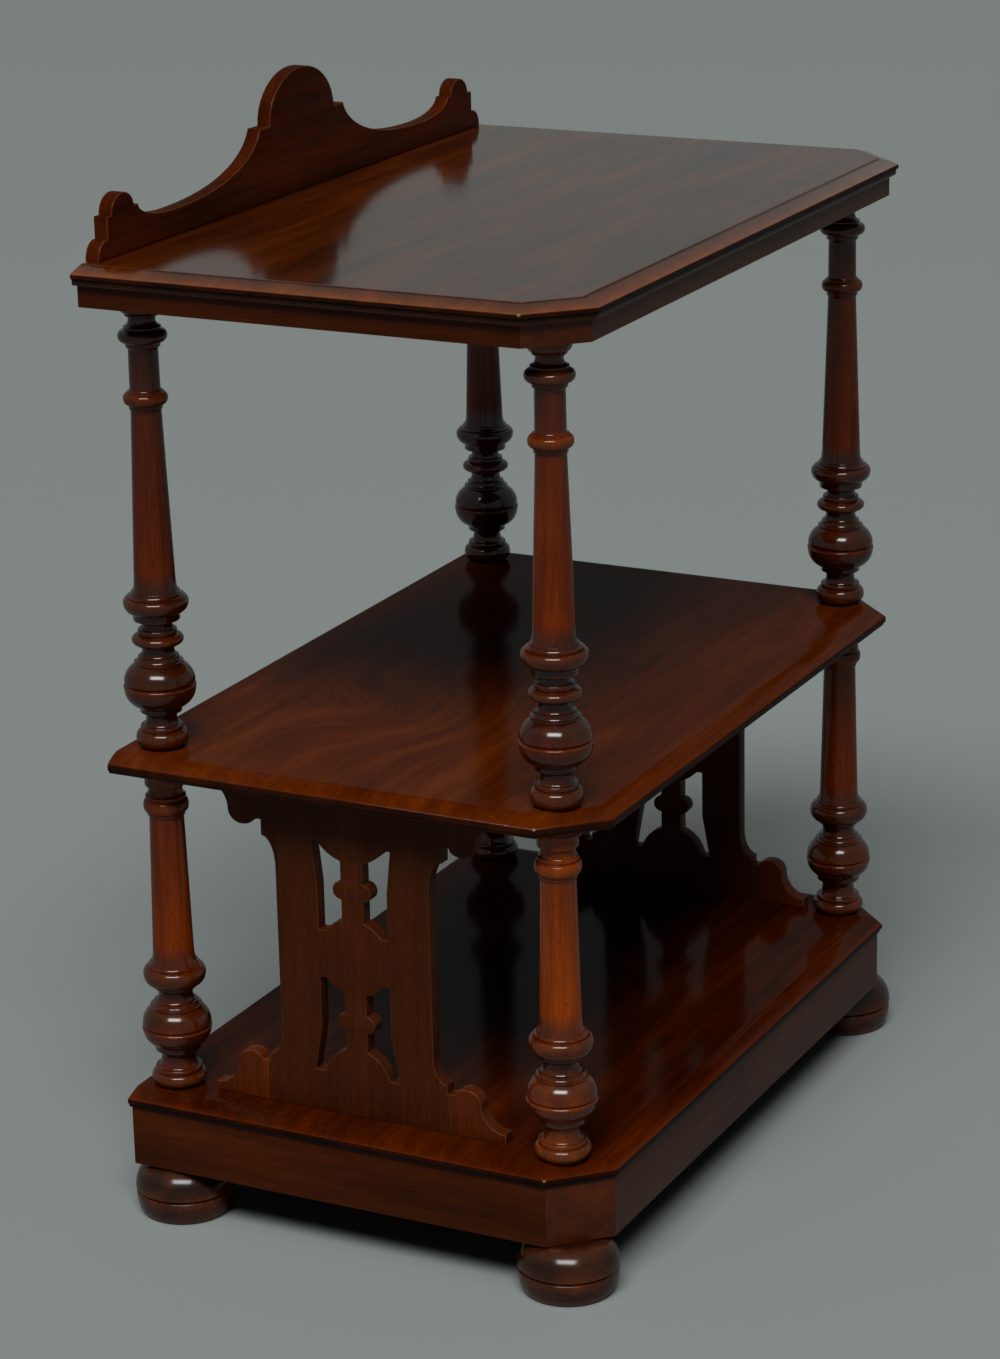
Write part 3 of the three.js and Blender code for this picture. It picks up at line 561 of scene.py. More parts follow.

# %% [markdown]
# Moulded boards
#
# The joiner cut the two front corners of each board off, then ran a moulding plane along the
# front, the ends and the cut corners, and left the back edge plain. Seen from the end the
# moulding is a thumb: a slope on top, a small nose under it, and a hollow below. The plane's
# fence leaves a shallow quirk, a sharp little step, where the slope meets the flat. Wax fills
# it, and it is painted dark for that wax and as shade in the step, so it shows as a thin dark
# line all round the board.
#
# So a board is a stack of level outlines. Each outline is the board's plan moved in by some
# inset, which mitres the moulding at the corners by itself. A bevel modifier would round the
# edge, but it knows only one curve, and this edge has four parts.
#
# The sizes below are millimetres. A thumb's curve is 1 where it is a flat bevel, and fuller
# above that. Its wax_and_shade is how dark the quirk is painted, for its wax and as shade. The
# higher its fade, the sooner the rubbing ends inwards.

# %% Sizes of the boards
BOARDS = {
    "top_board": {
        "slot": "top_board_wood", "cant": 49, "undercut": 2.5, "hollow": 6, "nose": 2.2,
        "bevel": 18, "drop": 5.5, "curve": 1.15, "wax_and_shade": 0.7, "fade": 1.5,
    },
    "middle_shelf": {
        "slot": "shelf_wood", "cant": 51, "undercut": 2, "hollow": 3, "nose": 2.6,
        "bevel": 15.5, "drop": 7.4, "curve": 1.4, "wax_and_shade": 0.2, "fade": 6,
    },
    "base_board": {
        "slot": "shelf_wood", "cant": 49, "undercut": 2.5, "hollow": 4, "nose": 2,
        "bevel": 18, "drop": 6, "curve": 1.3, "wax_and_shade": 0.25, "fade": 6,
    },
}
for node, board in BOARDS.items():
    print(node, "has a thumb", board["bevel"], "mm wide and", board["drop"], "mm deep")

# %% [markdown]
# The edge is one profile, read from the underside up. Each point of it says how far in it lies,
# how high, how rubbed it is and how dark it is painted. The arris of the nose is rubbed most.
# The underside, the lip under the nose and the hollow are painted dark as shade, the hollow
# darkest, and the rubbing fades out over the slope.

# %% The moulding's profile
THUMB_STEPS = 10
NOSE_STEPS = 4
UNDERSIDE_EASE = (0.4, 0.5)  # inwards and upwards, at the board's lowest edge
HOLLOW_RUN = 0.8  # of the undercut, which is left at the head of the hollow
LIP_ROUND = 0.8  # where the hollow meets the nose
NOSE_LEAN = 0.35  # the nose leans in by this share of its height
RUBBED = {"underside": 0.1, "nose": 0.9, "slope": 0.8}
# painted shade on the board's underside and on the lip under the nose
PAINTED_SHADE = {"underside": 0.6, "nose": 0.95}
WAX_AND_SHADE_RUN = 6  # the painted wax and shade begin on the last sixth of the slope
QUIRK = {"drop": 0.5, "width": 0.5}
QUIRK_POINTS = (
    # widths of the quirk inwards, depth under the flat, rubbed share and share of the painted wax and
    # shade
    (1, 0.1, 0.3, 0.6),
    (2, 0, 0.2, 0.2),
    (6, 0, 0, 0),
)


def nose_points(board, arris):
    """The lip over the hollow and the nose above it, from below up to the arris."""
    points, nose = [], board["nose"]
    for step in range(NOSE_STEPS + 1):
        angle = step / NOSE_STEPS * math.pi / 2
        inset = LIP_ROUND * (1 - math.sin(angle))
        height = board["hollow"] + LIP_ROUND * (1 - math.cos(angle))
        points.append((inset, height, RUBBED["underside"], PAINTED_SHADE["nose"]))
    for step in range(NOSE_STEPS + 1):
        angle = step / NOSE_STEPS * math.pi / 3
        inset = nose * NOSE_LEAN * (1 - math.cos(angle))
        up = (step / NOSE_STEPS) ** 3
        height = arris - nose * (1 - math.sin(angle))
        points.append((inset, height, RUBBED["nose"] * up, PAINTED_SHADE["nose"] * (1 - up)))
    return points


def moulding(board, thickness):
    """The edge from the underside up: inset, height, rubbed share and hidden share."""
    undercut = board["undercut"]
    below = (RUBBED["underside"], PAINTED_SHADE["underside"])
    edge = [(undercut + UNDERSIDE_EASE[0], 0, *below), (undercut, UNDERSIDE_EASE[1], *below)]
    # the hollow under the nose, painted fully dark as shade
    edge.append((undercut * HOLLOW_RUN, board["hollow"] - LIP_ROUND, 0, 1))
    edge += nose_points(board, thickness - board["drop"])
    start_inset, start_height = edge[-1][0], edge[-1][1]
    for step in range(1, THUMB_STEPS + 1):
        share = step / THUMB_STEPS
        rise = 1 - (1 - share) ** board["curve"]
        inset = start_inset + (board["bevel"] - start_inset) * share
        height = start_height + (thickness - QUIRK["drop"] - start_height) * rise
        rubbed = RUBBED["slope"] * (1 - share) ** board["fade"]
        wax_and_shade = board["wax_and_shade"] * max(0, WAX_AND_SHADE_RUN * share - (WAX_AND_SHADE_RUN - 1))
        edge.append((inset, height, rubbed, wax_and_shade))
    for widths, depth, rubbed, wax_and_shade in QUIRK_POINTS:
        inset = board["bevel"] + widths * QUIRK["width"]
        edge.append((inset, thickness - depth, rubbed, wax_and_shade * board["wax_and_shade"]))
    return edge


print("a slope has", THUMB_STEPS, "steps and a nose", 2 * NOSE_STEPS)

# %% [markdown]
# Each point of the profile now becomes an outline of the whole board. Faces join every outline
# to the one above it, and one large face closes the stack below and one above. The corners of
# the outlines lie on the mitre lines, so the moulding turns each corner as a joiner cuts it.

# %% Stack the outlines
CANT_SHARE = 2 - math.sqrt(2)  # of an inset, which a cut corner's leg loses


def board_plan(low, high, cant, inset):
    """The board from above, moved in at the front, the ends and the cut corners."""
    left, right, front = low.x + inset, high.x - inset, low.y + inset
    leg = cant - inset * CANT_SHARE
    return [
        (left, high.y),
        (left, front + leg),
        (left + leg, front),
        (right - leg, front),
        (right, front + leg),
        (right, high.y),
    ]


def lofted(plans, heights):
    """Points and faces of a stack of level outlines, closed below and above."""
    count = len(plans[0])
    points = [(x, y, z) for plan, z in zip(plans, heights) for x, y in plan]
    last = len(points) - count
    faces = [tuple(reversed(range(count))), tuple(range(last, last + count))]
    for start in range(0, last, count):
        for corner in range(count):
            following = (corner + 1) % count
            above = start + count
            faces.append((start + corner, start + following, above + following, above + corner))
    return points, faces


for node, board in BOARDS.items():
    low, high = box_mm(node)
    edge = moulding(board, high.z - low.z)
    plans = [board_plan(low, high, board["cant"], inset) for inset, _, _, _ in edge]
    points, faces = lofted(plans, [low.z + height for _, height, _, _ in edge])
    wear = [rubbed for _, _, rubbed, _ in edge for _ in plans[0]]
    cavity = [darkened for _, _, _, darkened in edge for _ in plans[0]]
    finish_piece(f"{node}_moulded", points, faces, wear, cavity, node)
    print(node, "moulded,", len(edge), "outlines high")

# %% [markdown]
# Sawn pieces
#
# Rails, corner posts, the gallery, the trestles and their brackets are all flat boards sawn
# to an outline. Blender's own 2-D curve is the natural tool for that: it fills an outline,
# leaves its holes open, gives it a thickness and rounds its arrises, even the sawn ones.
#
# The rounding grows outwards, so an equal negative offset keeps the piece at its size. The
# points on the rounding itself are marked as rubbed, because that is where the polish goes.

# %% Saw a piece from an outline
ARRIS = 0.9
ARRIS_STEPS = 2
ROUNDING_MARGIN = 0.03  # of the arris, left unmarked at each side of the rounding
LIE_FLAT = Matrix.Identity(3)  # width along X, height along Y, thickness along Z
STAND_ALONG = Matrix(((1, 0, 0), (0, 0, -1), (0, 1, 0)))  # width along X, height along Z
STAND_ACROSS = Matrix(((0, 0, 1), (1, 0, 0), (0, 1, 0)))  # width along Y, height along Z


def sawn(name, outlines, thickness, way, place, node, arris=ARRIS):
    """A board sawn to its first outline, with the others as holes, set up round a place."""
    curve = bpy.data.curves.new(name, "CURVE")
    curve.dimensions = "2D"
    curve.fill_mode = "BOTH"
    curve.extrude = thickness / 2 - arris
    curve.bevel_depth = arris
    curve.bevel_resolution = ARRIS_STEPS
    curve.offset = -arris
    for outline in outlines:
        spline = curve.splines.new("POLY")
        spline.points.add(len(outline) - 1)
        for point, (across, up) in zip(spline.points, outline):
            point.co = (across, up, 0, 1)
        spline.use_cyclic_u = True
    drawn = bpy.data.objects.new(name, curve)
    mesh = bpy.data.meshes.new_from_object(drawn)
    bpy.data.objects.remove(drawn)
    bpy.data.curves.remove(curve)
    points, faces = welded(mesh)
    bpy.data.meshes.remove(mesh)
    inner = thickness / 2 - arris * (1 - ROUNDING_MARGIN)
    outer = thickness / 2 - arris * ROUNDING_MARGIN
    wear = [1 if inner < abs(point.z) < outer else 0 for point in points]
    cavity = [0] * len(points)
    placed = [way @ point + Vector(place) for point in points]
    finish_piece(name, placed, faces, wear, cavity, node)


def welded(mesh):
    """A mesh's points and faces with the points that lie on each other made one."""
    found, points, index = {}, [], []
    for vertex in mesh.vertices:
        key = tuple(round(c, 3) for c in vertex.co)
        if key not in found:
            found[key] = len(points)
            points.append(vertex.co.copy())
        index.append(found[key])
    faces = []
    for polygon in mesh.polygons:
        corners = [index[v] for v in polygon.vertices]
        if len(set(corners)) == len(corners):
            faces.append(corners)
    return points, faces


print("sawn arrises are rounded by", ARRIS, "mm")

# %% [markdown]
# Frieze and plinth
#
# Under the top and under the base board runs a frame of four rails. Solid blocks fill its
# corners and carry the columns. The front blocks show: they are the cut corners themselves,
# and the rails are housed in them, so that a fine joint stands beside each cut corner. Plain
# cubes would do for the rails, but sawn pieces have the rounded arrises that catch the light.

# %% Frieze and plinth
def rectangle(low, high):
    """The plan of a plain rail or block."""
    return [(low.x, low.y), (high.x, low.y), (high.x, high.y), (low.x, high.y)]


def front_block_plan(prefix, node):
    """A front corner block from above: the cut corner outside and the housings inside."""
    low, high = box_mm(node)
    side = 1 if node.endswith("right") else -1
    rail_low, rail_high = box_mm(f"{prefix}_front_rail")
    end_low, end_high = box_mm(f"{prefix}_right_rail")
    cut_x, cut_y = rail_high.x + JOINT_GAP, end_low.y - JOINT_GAP
    housing_x, housing_y = end_low.x - JOINT_GAP, rail_high.y + JOINT_GAP
    inner_x = min(abs(low.x), abs(high.x))
    plan = [
        (cut_x, rail_low.y),
        (end_high.x, cut_y),
        (housing_x, cut_y),
        (housing_x, high.y),
        (inner_x, high.y),
        (inner_x, housing_y),
        (cut_x, housing_y),
    ]
    return [(side * x, y) for x, y in plan]


def planed(node, plan=None):
    """A rail or a block that lies flat, with its own plan or else a rectangle."""
    low, high = box_mm(node)
    middle = (0, 0, (low.z + high.z) / 2)
    outlines = [plan or rectangle(low, high)]
    sawn(f"{node}_planed", outlines, high.z - low.z, LIE_FLAT, middle, node)


for prefix in ("frieze", "plinth"):
    for side in ("front", "left", "right", "back"):
        planed(f"{prefix}_{side}_rail")
    for corner in CORNERS:
        node = f"{prefix}_block_{corner}"
        is_cut = corner.startswith("front")
        planed(node, front_block_plan(prefix, node) if is_cut else None)
    low, high = box_mm(f"{prefix}_front_rail")
    print(prefix, "framed,", round(high.z - low.z, 1), "mm high")

# %% [markdown]
# Drawing sawn outlines
#
# A bow saw follows straight lines, quarter turns and long sweeps. The class below draws with
# those, from the foot of a piece upwards and on one side only: the other side is its mirror, as
# when a joiner folds a paper pattern. Bezier handles could be set by hand instead, but these
# few kinds of cut say what the saw did and keep each size a number.

# %% Outlines
TURN_STEPS = 10
SWEEP_STEPS = 24
ARC_STEP = math.radians(9)


class Outline:
    """A sawn outline in millimetres, drawn point after point."""

    def __init__(self, x, y):
        self.points = [(x, y)]

    def line(self, x, y):
        """A straight cut."""
        self.points.append((x, y))
        return self

    def turn(self, x, y, leaves_level):
        """A quarter turn to a new point, which leaves level or upright."""
        start_x, start_y = self.points[-1]
        for step in range(1, TURN_STEPS + 1):
            angle = step / TURN_STEPS * math.pi / 2
            early, late = math.sin(angle), 1 - math.cos(angle)
            across, up = (early, late) if leaves_level else (late, early)
            self.line(start_x + (x - start_x) * across, start_y + (y - start_y) * up)
        return self

    def sweep(self, first_handle, second_handle, end):
        """A long curve with a handle at each end."""
        start = Vector(self.points[-1])
        first, second, stop = Vector(first_handle), Vector(second_handle), Vector(end)
        for step in range(1, SWEEP_STEPS + 1):
            t = step / SWEEP_STEPS
            near = start * (1 - t) ** 3 + first * 3 * t * (1 - t) ** 2
            far = second * 3 * t**2 * (1 - t) + stop * t**3
            self.line(*(near + far))
        return self

    def arc(self, x, y, radius, start_angle, end_angle):
        """Part of a circle about (x, y)."""
        steps = max(2, round(abs(end_angle - start_angle) / ARC_STEP))
        for step in range(steps + 1):
            angle = start_angle + (end_angle - start_angle) * step / steps
            self.line(x + radius * math.cos(angle), y + radius * math.sin(angle))
        return self


def mirrored(points):
    """The same outline on the other side of the middle line."""
    return [(-x, y) for x, y in points]


def both_sides(points):
    """A closed outline from its right side, drawn upwards from its foot."""
    left = [point for point in reversed(points) if point[0] > 0]
    return points + mirrored(left)


print("a quarter turn has", TURN_STEPS, "straight steps and a sweep", SWEEP_STEPS)

# %% [markdown]
# The gallery
#
# The gallery stops things rolling off the back. A tall lobe rises in the middle from two small
# ledges, long hollows run out to both ends, and each end has a little scroll on a stepped post.
# It is one sawn board, so it is one outline with a thickness. Its arrises are rubbed rounder
# than those of the other boards, because every duster runs along them. The sizes are heights
# above the top board and distances from its middle, in millimetres.

# %% The gallery
GALLERY_PEAK = 115
GALLERY_LOBE = {"half_width": 61, "height": 69, "ledge": 18}
GALLERY_SWEEP = {"span": 235, "height": 24}
GALLERY_SCROLL = {"step": 39.5, "step_width": 7, "height": 54, "inner": 18, "outer": 19}
GALLERY_POST = {"step": 37, "step_width": 8, "height": 17.5, "step_in": 2.5, "round": 14}
SWEEP_START_SHARES = (0.045, 0.42)  # of the hollow's run and of its drop, beside the lobe
SWEEP_END_SHARE = 0.705  # of the run, at its lowest point
GALLERY_ARRIS = 1.2


def gallery_outline(half_length):
    """The gallery from the front, standing on the top board."""
    lobe, scroll, post, sweep = GALLERY_LOBE, GALLERY_SCROLL, GALLERY_POST, GALLERY_SWEEP
    post_x = half_length - post["round"] - post["step_in"]
    scroll_x = post_x - post["step_width"] - scroll["outer"]
    step_x = scroll_x - scroll["inner"]
    ledge_x = lobe["half_width"] + lobe["ledge"]
    run, drop = sweep["span"] - ledge_x, lobe["height"] - sweep["height"]
    outline = (
        Outline(half_length, 0)
        .turn(half_length - post["round"], post["height"], leaves_level=False)
        .line(post_x, post["height"])
        .line(post_x, post["step"])
        .line(post_x - post["step_width"], post["step"])
        .turn(scroll_x, scroll["height"], leaves_level=False)
        .turn(step_x, scroll["step"], leaves_level=True)
        .line(step_x - scroll["step_width"], scroll["step"])
        .turn(sweep["span"], sweep["height"], leaves_level=False)
        .sweep(
            (sweep["span"] - run * SWEEP_END_SHARE, sweep["height"]),
            (ledge_x + run * SWEEP_START_SHARES[0], lobe["height"] - drop * SWEEP_START_SHARES[1]),
            (ledge_x, lobe["height"]),
        )
        .line(lobe["half_width"], lobe["height"])
        .turn(0, GALLERY_PEAK, leaves_level=False)
    )
    return both_sides(outline.points)


low, high = box_mm("gallery_board")
middle = (0, (low.y + high.y) / 2, low.z)
sawn(
    "gallery_board_sawn",
    [gallery_outline((high.x - low.x) / 2)],
    high.y - low.y,
    STAND_ALONG,
    middle,
    "gallery_board",
    arris=GALLERY_ARRIS,
)
print("gallery:", round(high.x - low.x), "mm long, peak", round(high.z - low.z), "mm high")

# %% [markdown]
# The trestles
#
# Each trestle is one board with its grain upright. Four openings leave a slim bar with round
# knops down its middle, a roundel halfway and a lobe at head and foot. The openings' inner
# edges are circles about the middle line, and their outer edges flare towards head and foot.
# Four scrolled brackets are glued to its sides, so a fine upright seam shows at each.
#
# Cutting the openings with a boolean would leave their edges sharp. As holes of the same 2-D
# curve they get the same rounded arris as the outside, like the work of the same saw and file.

# %% The outline of a trestle
TRESTLE_SEAM, TRESTLE_LIP, TRESTLE_WAIST = 94, 91.5, 78  # half widths
TRESTLE_FOOT_LIP, TRESTLE_FOOT_FLARE = 47, 70  # up from the foot
TRESTLE_HEAD_LIP, TRESTLE_HEAD_FLARE = 54, 82  # down from the head
BRACKET = {"length": 55, "toe": 9, "rim": (31, 33), "lobe": (17, 46), "notch": (5, 39)}


def panel_outline(height):
    """The trestle's outside from the end, with a notch for each bracket."""
    notch = BRACKET["notch"][1]
    half = (
        Outline(TRESTLE_SEAM, 0)
        .line(TRESTLE_SEAM, notch)
        .line(TRESTLE_LIP, notch)
        .line(TRESTLE_LIP, TRESTLE_FOOT_LIP)
        .turn(TRESTLE_WAIST, TRESTLE_FOOT_FLARE, leaves_level=True)
        .line(TRESTLE_WAIST, height - TRESTLE_HEAD_FLARE)
        .turn(TRESTLE_LIP, height - TRESTLE_HEAD_LIP, leaves_level=False)
        .line(TRESTLE_LIP, height - notch)
        .line(TRESTLE_SEAM, height - notch)
        .line(TRESTLE_SEAM, height)
    )
    return both_sides(half.points)


print("a trestle is", 2 * TRESTLE_SEAM, "mm wide at its seams and", 2 * TRESTLE_WAIST, "at its waist")

# %% [markdown]
# The four openings are two shapes and their mirror images. Each is drawn once round: up its
# flared outer side, then back along the circles of a lobe, a knop and the roundel. The angles
# at which those circles meet the bar are reckoned from the sizes, so nothing has to be fitted
# by eye when a size changes.

# %% The openings
BAR, OPENING = 11, 35.5  # half widths
UPPER_OPENING = {"drop": 51, "flare": 40, "flare_drop": 92}
LOWER_OPENING = {"height": 40, "flare": 43.5, "flare_height": 84}
HEAD_LOBE = {"drop": 26.5, "radius": 42}
ROUNDEL = {"height": 154.5, "radius": 37, "band": 23}
FOOT_LOBE = {"height": 31.8, "radius": 34.5}
KNOP = {"radius": 8.5, "upper": 218.5, "lower": 91}


def roundel_angles():
    """Where an opening's outer edge and the bar meet the roundel."""
    band, radius = ROUNDEL["band"], ROUNDEL["radius"]
    return math.asin(band / radius), math.acos(BAR / radius)


def upper_opening(height):
    """The opening above the roundel, right of the bar."""
    top, head = height - UPPER_OPENING["drop"], height - HEAD_LOBE["drop"]
    head_angle = math.asin((head - top) / HEAD_LOBE["radius"])
    knop_angle = math.acos(BAR / HEAD_LOBE["radius"])
    band_angle, bar_angle = roundel_angles()
    outline = (
        Outline(OPENING, ROUNDEL["height"] + ROUNDEL["band"])
        .line(OPENING, height - UPPER_OPENING["flare_drop"])
        .line(UPPER_OPENING["flare"], top)
        .arc(0, head, HEAD_LOBE["radius"], -head_angle, -knop_angle)
        .arc(BAR, KNOP["upper"], KNOP["radius"], math.pi / 2, -math.pi / 2)
        .arc(0, ROUNDEL["height"], ROUNDEL["radius"], bar_angle, band_angle)
    )
    return outline.points


def lower_opening():
    """The opening below the roundel, right of the bar."""
    rise = LOWER_OPENING["height"] - FOOT_LOBE["height"]
    foot_angle = math.asin(rise / FOOT_LOBE["radius"])
    knop_angle = math.acos(BAR / FOOT_LOBE["radius"])
    band_angle, bar_angle = roundel_angles()
    outline = (
        Outline(LOWER_OPENING["flare"], LOWER_OPENING["height"])
        .line(OPENING, LOWER_OPENING["flare_height"])
        .line(OPENING, ROUNDEL["height"] - ROUNDEL["band"])
        .arc(0, ROUNDEL["height"], ROUNDEL["radius"], -band_angle, -bar_angle)
        .arc(BAR, KNOP["lower"], KNOP["radius"], math.pi / 2, -math.pi / 2)
        .arc(0, FOOT_LOBE["height"], FOOT_LOBE["radius"], knop_angle, foot_angle)
    )
    return outline.points


print("the roundel is", 2 * ROUNDEL["radius"], "mm across and the knops", 2 * KNOP["radius"])

# %% [markdown]
# Now both panels can be sawn. The frame says where each one stands: the right one is a little
# nearer the front than the left one. Their brackets later take the same thickness and place.

# %% The trestle panels
def trestle_sawn(node, side, outlines):
    """A piece of a trestle, as thick as the panel and set up round the panel's foot."""
    low, high = box_mm(f"trestle_panel_{side}")
    foot = ((low.x + high.x) / 2, (low.y + high.y) / 2, low.z)
    sawn(f"{node}_sawn", outlines, high.x - low.x, STAND_ACROSS, foot, node)


for side in ("left", "right"):
    node = f"trestle_panel_{side}"
    low, high = box_mm(node)
    openings = [upper_opening(high.z - low.z), lower_opening()]
    outlines = [panel_outline(high.z - low.z), *openings, *map(mirrored, openings)]
    trestle_sawn(node, side, outlines)
print("trestle panels:", round(high.y - low.y), "mm wide and", round(high.z - low.z, 1), "mm high")

# %% [markdown]
# A bracket stands on its toe, hollows up to a rounded lobe and dips to a small notch beside
# the seam. The ears at the head are the same brackets hung upside down. They are pieces of
# their own, because on the real trestle they are glued on and the seam shows.

# %% The brackets
def bracket_outline(is_ear, points_back, height):
    """A bracket or an ear of a trestle of some height, pointing forwards or back."""
    rim, lobe, notch = BRACKET["rim"], BRACKET["lobe"], BRACKET["notch"]
    seam = TRESTLE_SEAM + JOINT_GAP
    outline = (
        Outline(seam, 0)
        .line(seam + BRACKET["length"], 0)
        .line(seam + BRACKET["length"], BRACKET["toe"])
        .turn(seam + rim[0], rim[1], leaves_level=True)
        .turn(seam + lobe[0], lobe[1], leaves_level=False)
        .turn(seam + notch[0], notch[1], leaves_level=True)
        .line(seam, notch[1])
    )
    across = 1 if points_back else -1
    return [(across * x, height - y if is_ear else y) for x, y in outline.points]


for side in ("left", "right"):
    low, high = box_mm(f"trestle_panel_{side}")
    for kind in ("scroll", "ear"):
        for end in ("front", "back"):
            outline = bracket_outline(kind == "ear", end == "back", high.z - low.z)
            trestle_sawn(f"trestle_{kind}_{side}_{end}", side, [outline])
print("brackets:", BRACKET["length"], "mm long and", BRACKET["lobe"][1], "mm high")

# %% [markdown]
# Colours and nodes
#
# Colours below are written as sRGB hex, the way a paint card gives them, and one function turns
# them into the linear values that a shader works with. A second function adds a node together
# with its settings and links, so that each finish reads as a recipe.

# %% Colours and nodes
def linear(hex_colour):
    """An sRGB hex colour as the linear RGBA values of a shader socket."""
    channels = [int(hex_colour[i : i + 2], 16) / 255 for i in (1, 3, 5)]
    # the numbers below are those of the sRGB standard
    return [c / 12.92 if c <= 0.04045 else ((c + 0.055) / 1.055) ** 2.4 for c in channels] + [1]


def add_node(material, kind, settings=None, links=None):
    """Adds a node. Settings go to its sockets, its own properties or its ramp's stops."""
    node = material.node_tree.nodes.new(kind)
    for name, value in (settings or {}).items():
        if name == "stops":
            for index, (position, colour) in enumerate(value):
                elements = node.color_ramp.elements
                element = elements[index] if index < 2 else elements.new(position)
                element.position, element.color = position, colour
        elif isinstance(name, int) or name in node.inputs:
            node.inputs[name].default_value = value
        else:
            setattr(node, name, value)
    for name, output in (links or {}).items():
        material.node_tree.links.new(output, node.inputs[name])
    return node


print("example: #7a3315 is", [round(c, 3) for c in linear("#7a3315")])

# %% [markdown]
# Mahogany under French polish
#
# Mahogany is a red-brown hardwood. Close up it has three scales of figure, all drawn out along
# the grain: cloudy bands, a ribbon stripe, where the grain leans one way and then the other,
# and a fibre streak under 2 mm wide. A wide board shows broad clouds, while a turned shaft cuts
# them short. Short dark dashes between the fibres are the open pores. They are 0.2 mm wide, too
# fine for the picture, so they are drawn 0.8 mm wide.
#
# The textures are read in the etagere's own coordinates and squeezed along one axis, so each
# piece gets its grain by naming the axis. No two columns are cut from the same place. A picture
# of real veneer would need unwrapping on every turned piece, and would show the same board twice.

# %% Figure of the wood
FIGURES = {
    # across the grain and along it in millimetres, finer layers, and share of the whole
    "board": {"cloud": (46, 240, 2, 0.46), "ribbon": (13, 170, 2, 0.28), "fibre": (1.7, 55, 2, 0.26)},
    "turned": {"cloud": (26, 200, 1, 0.42), "ribbon": (5, 110, 2, 0.26), "fibre": (1.4, 40, 2, 0.32)},
    "upright": {"cloud": (40, 300, 1, 0.36), "ribbon": (7, 180, 2, 0.24), "fibre": (1.3, 32, 2, 0.4)},
}
WANDER_MM = {"distance": 110, "amount": 9}  # how far apart and how far sideways the grain bends
WANDER_STRETCH = 2  # the bends are this much longer along the grain
FINE_LAYERS = 0.6  # the strength of each finer layer of noise against the one before it
GRAIN = {"x": 0, "y": 1, "z": 2}


def stretched(material, source, across, along, grain, detail):
    """Noise whose spots are as wide and as long as given, in millimetres."""
    scale = [1 / (across * MM)] * 3
    scale[GRAIN[grain]] = 1 / (along * MM)
    squeeze = {"operation": "MULTIPLY", 1: scale}
    squeezed = add_node(material, "ShaderNodeVectorMath", squeeze, {0: source}).outputs[0]
    settings = {"Scale": 1, "Detail": detail, "Roughness": FINE_LAYERS}
    noise = add_node(material, "ShaderNodeTexNoise", settings, {"Vector": squeezed})
    return noise.outputs["Fac"]


def wandering(material, coordinates, grain):
    """The etagere's coordinates, bent a little sideways as a tree's grain is."""
    scale = [1 / (WANDER_MM["distance"] * MM)] * 3
    scale[GRAIN[grain]] /= WANDER_STRETCH
    squeeze = {"operation": "MULTIPLY", 1: scale}
    squeezed = add_node(material, "ShaderNodeVectorMath", squeeze, {0: coordinates}).outputs[0]
    waves = {"Scale": 1, "Detail": 1}
    noise = add_node(material, "ShaderNodeTexNoise", waves, {"Vector": squeezed})
    bend = {"operation": "MULTIPLY_ADD", 1: [WANDER_MM["amount"] * MM] * 3}
    links = {0: noise.outputs["Color"], 2: coordinates}
    return add_node(material, "ShaderNodeVectorMath", bend, links).outputs[0]


def weighted_figure(material, source, grain, figure):
    """The clouds, the ribbon and the fibre as one value about 0.5."""
    total = None
    for across, along, detail, share in FIGURES[figure].values():
        fac = stretched(material, source, across, along, grain, detail)
        links = {0: fac} if total is None else {0: fac, 2: total}
        add = {"operation": "MULTIPLY_ADD", 1: share, 2: 0}
        total = add_node(material, "ShaderNodeMath", add, links).outputs[0]
    return total


print("figures:", ", ".join(FIGURES))

# %% [markdown]
# Where a branch once grew, the grain runs round it, and the sawn board shows a swirl. The
# middle shelf has one left of its middle. A swirl is made by pushing the coordinates sideways,
# most in its middle and not at all past its reach.
#
# A chip is a spot where a knock has taken the polish and the dark surface off, down to pale
# wood. Its pale colour also paints the glint that a worn corner shows. It is a small ball about
# a point: what lies within its radius is pale. Painting either of them by hand would tie the
# finish to one mesh, while a point and a size are easy to move.

# %% Swirls and chips
CHIP_AND_GLINT_CORE = 0.5  # the share of a chip's radius that is fully pale, bare wood and painted glint


def led_round(material, source, middle, reach, push):
    """Coordinates whose grain is led round the middle of a swirl, all in millimetres."""
    centre = [-c * MM / (reach * MM) for c in middle]
    spread = {"operation": "MULTIPLY_ADD", 1: [1 / (reach * MM)] * 3, 2: centre}
    offset = add_node(material, "ShaderNodeVectorMath", spread, {0: source}).outputs[0]
    length = {"operation": "LENGTH"}
    distance = add_node(material, "ShaderNodeVectorMath", length, {0: offset}).outputs["Value"]
    ease = {"interpolation_type": "SMOOTHSTEP", "To Min": push * MM, "To Max": 0}
    fade = add_node(material, "ShaderNodeMapRange", ease, {"Value": distance}).outputs[0]
    sideways = {"operation": "SCALE", 0: (0, 1, 0)}
    shift = add_node(material, "ShaderNodeVectorMath", sideways, {"Scale": fade}).outputs[0]
    total = add_node(material, "ShaderNodeVectorMath", {"operation": "ADD"}, {0: source, 1: shift})
    return total.outputs[0]


def within(material, coordinates, middle, radius):
    """1 within a radius of a point, fading to 0 at its rim, in millimetres."""
    from_middle = {"operation": "DISTANCE", 1: [c * MM for c in middle]}
    links = {0: coordinates}
    distance = add_node(material, "ShaderNodeVectorMath", from_middle, links).outputs["Value"]
    fade = {"From Min": radius * MM * CHIP_AND_GLINT_CORE, "From Max": radius * MM, "To Min": 1, "To Max": 0}
    return add_node(material, "ShaderNodeMapRange", fade, {"Value": distance}).outputs[0]


print("a swirl pushes the grain sideways, and a chip bares the wood")

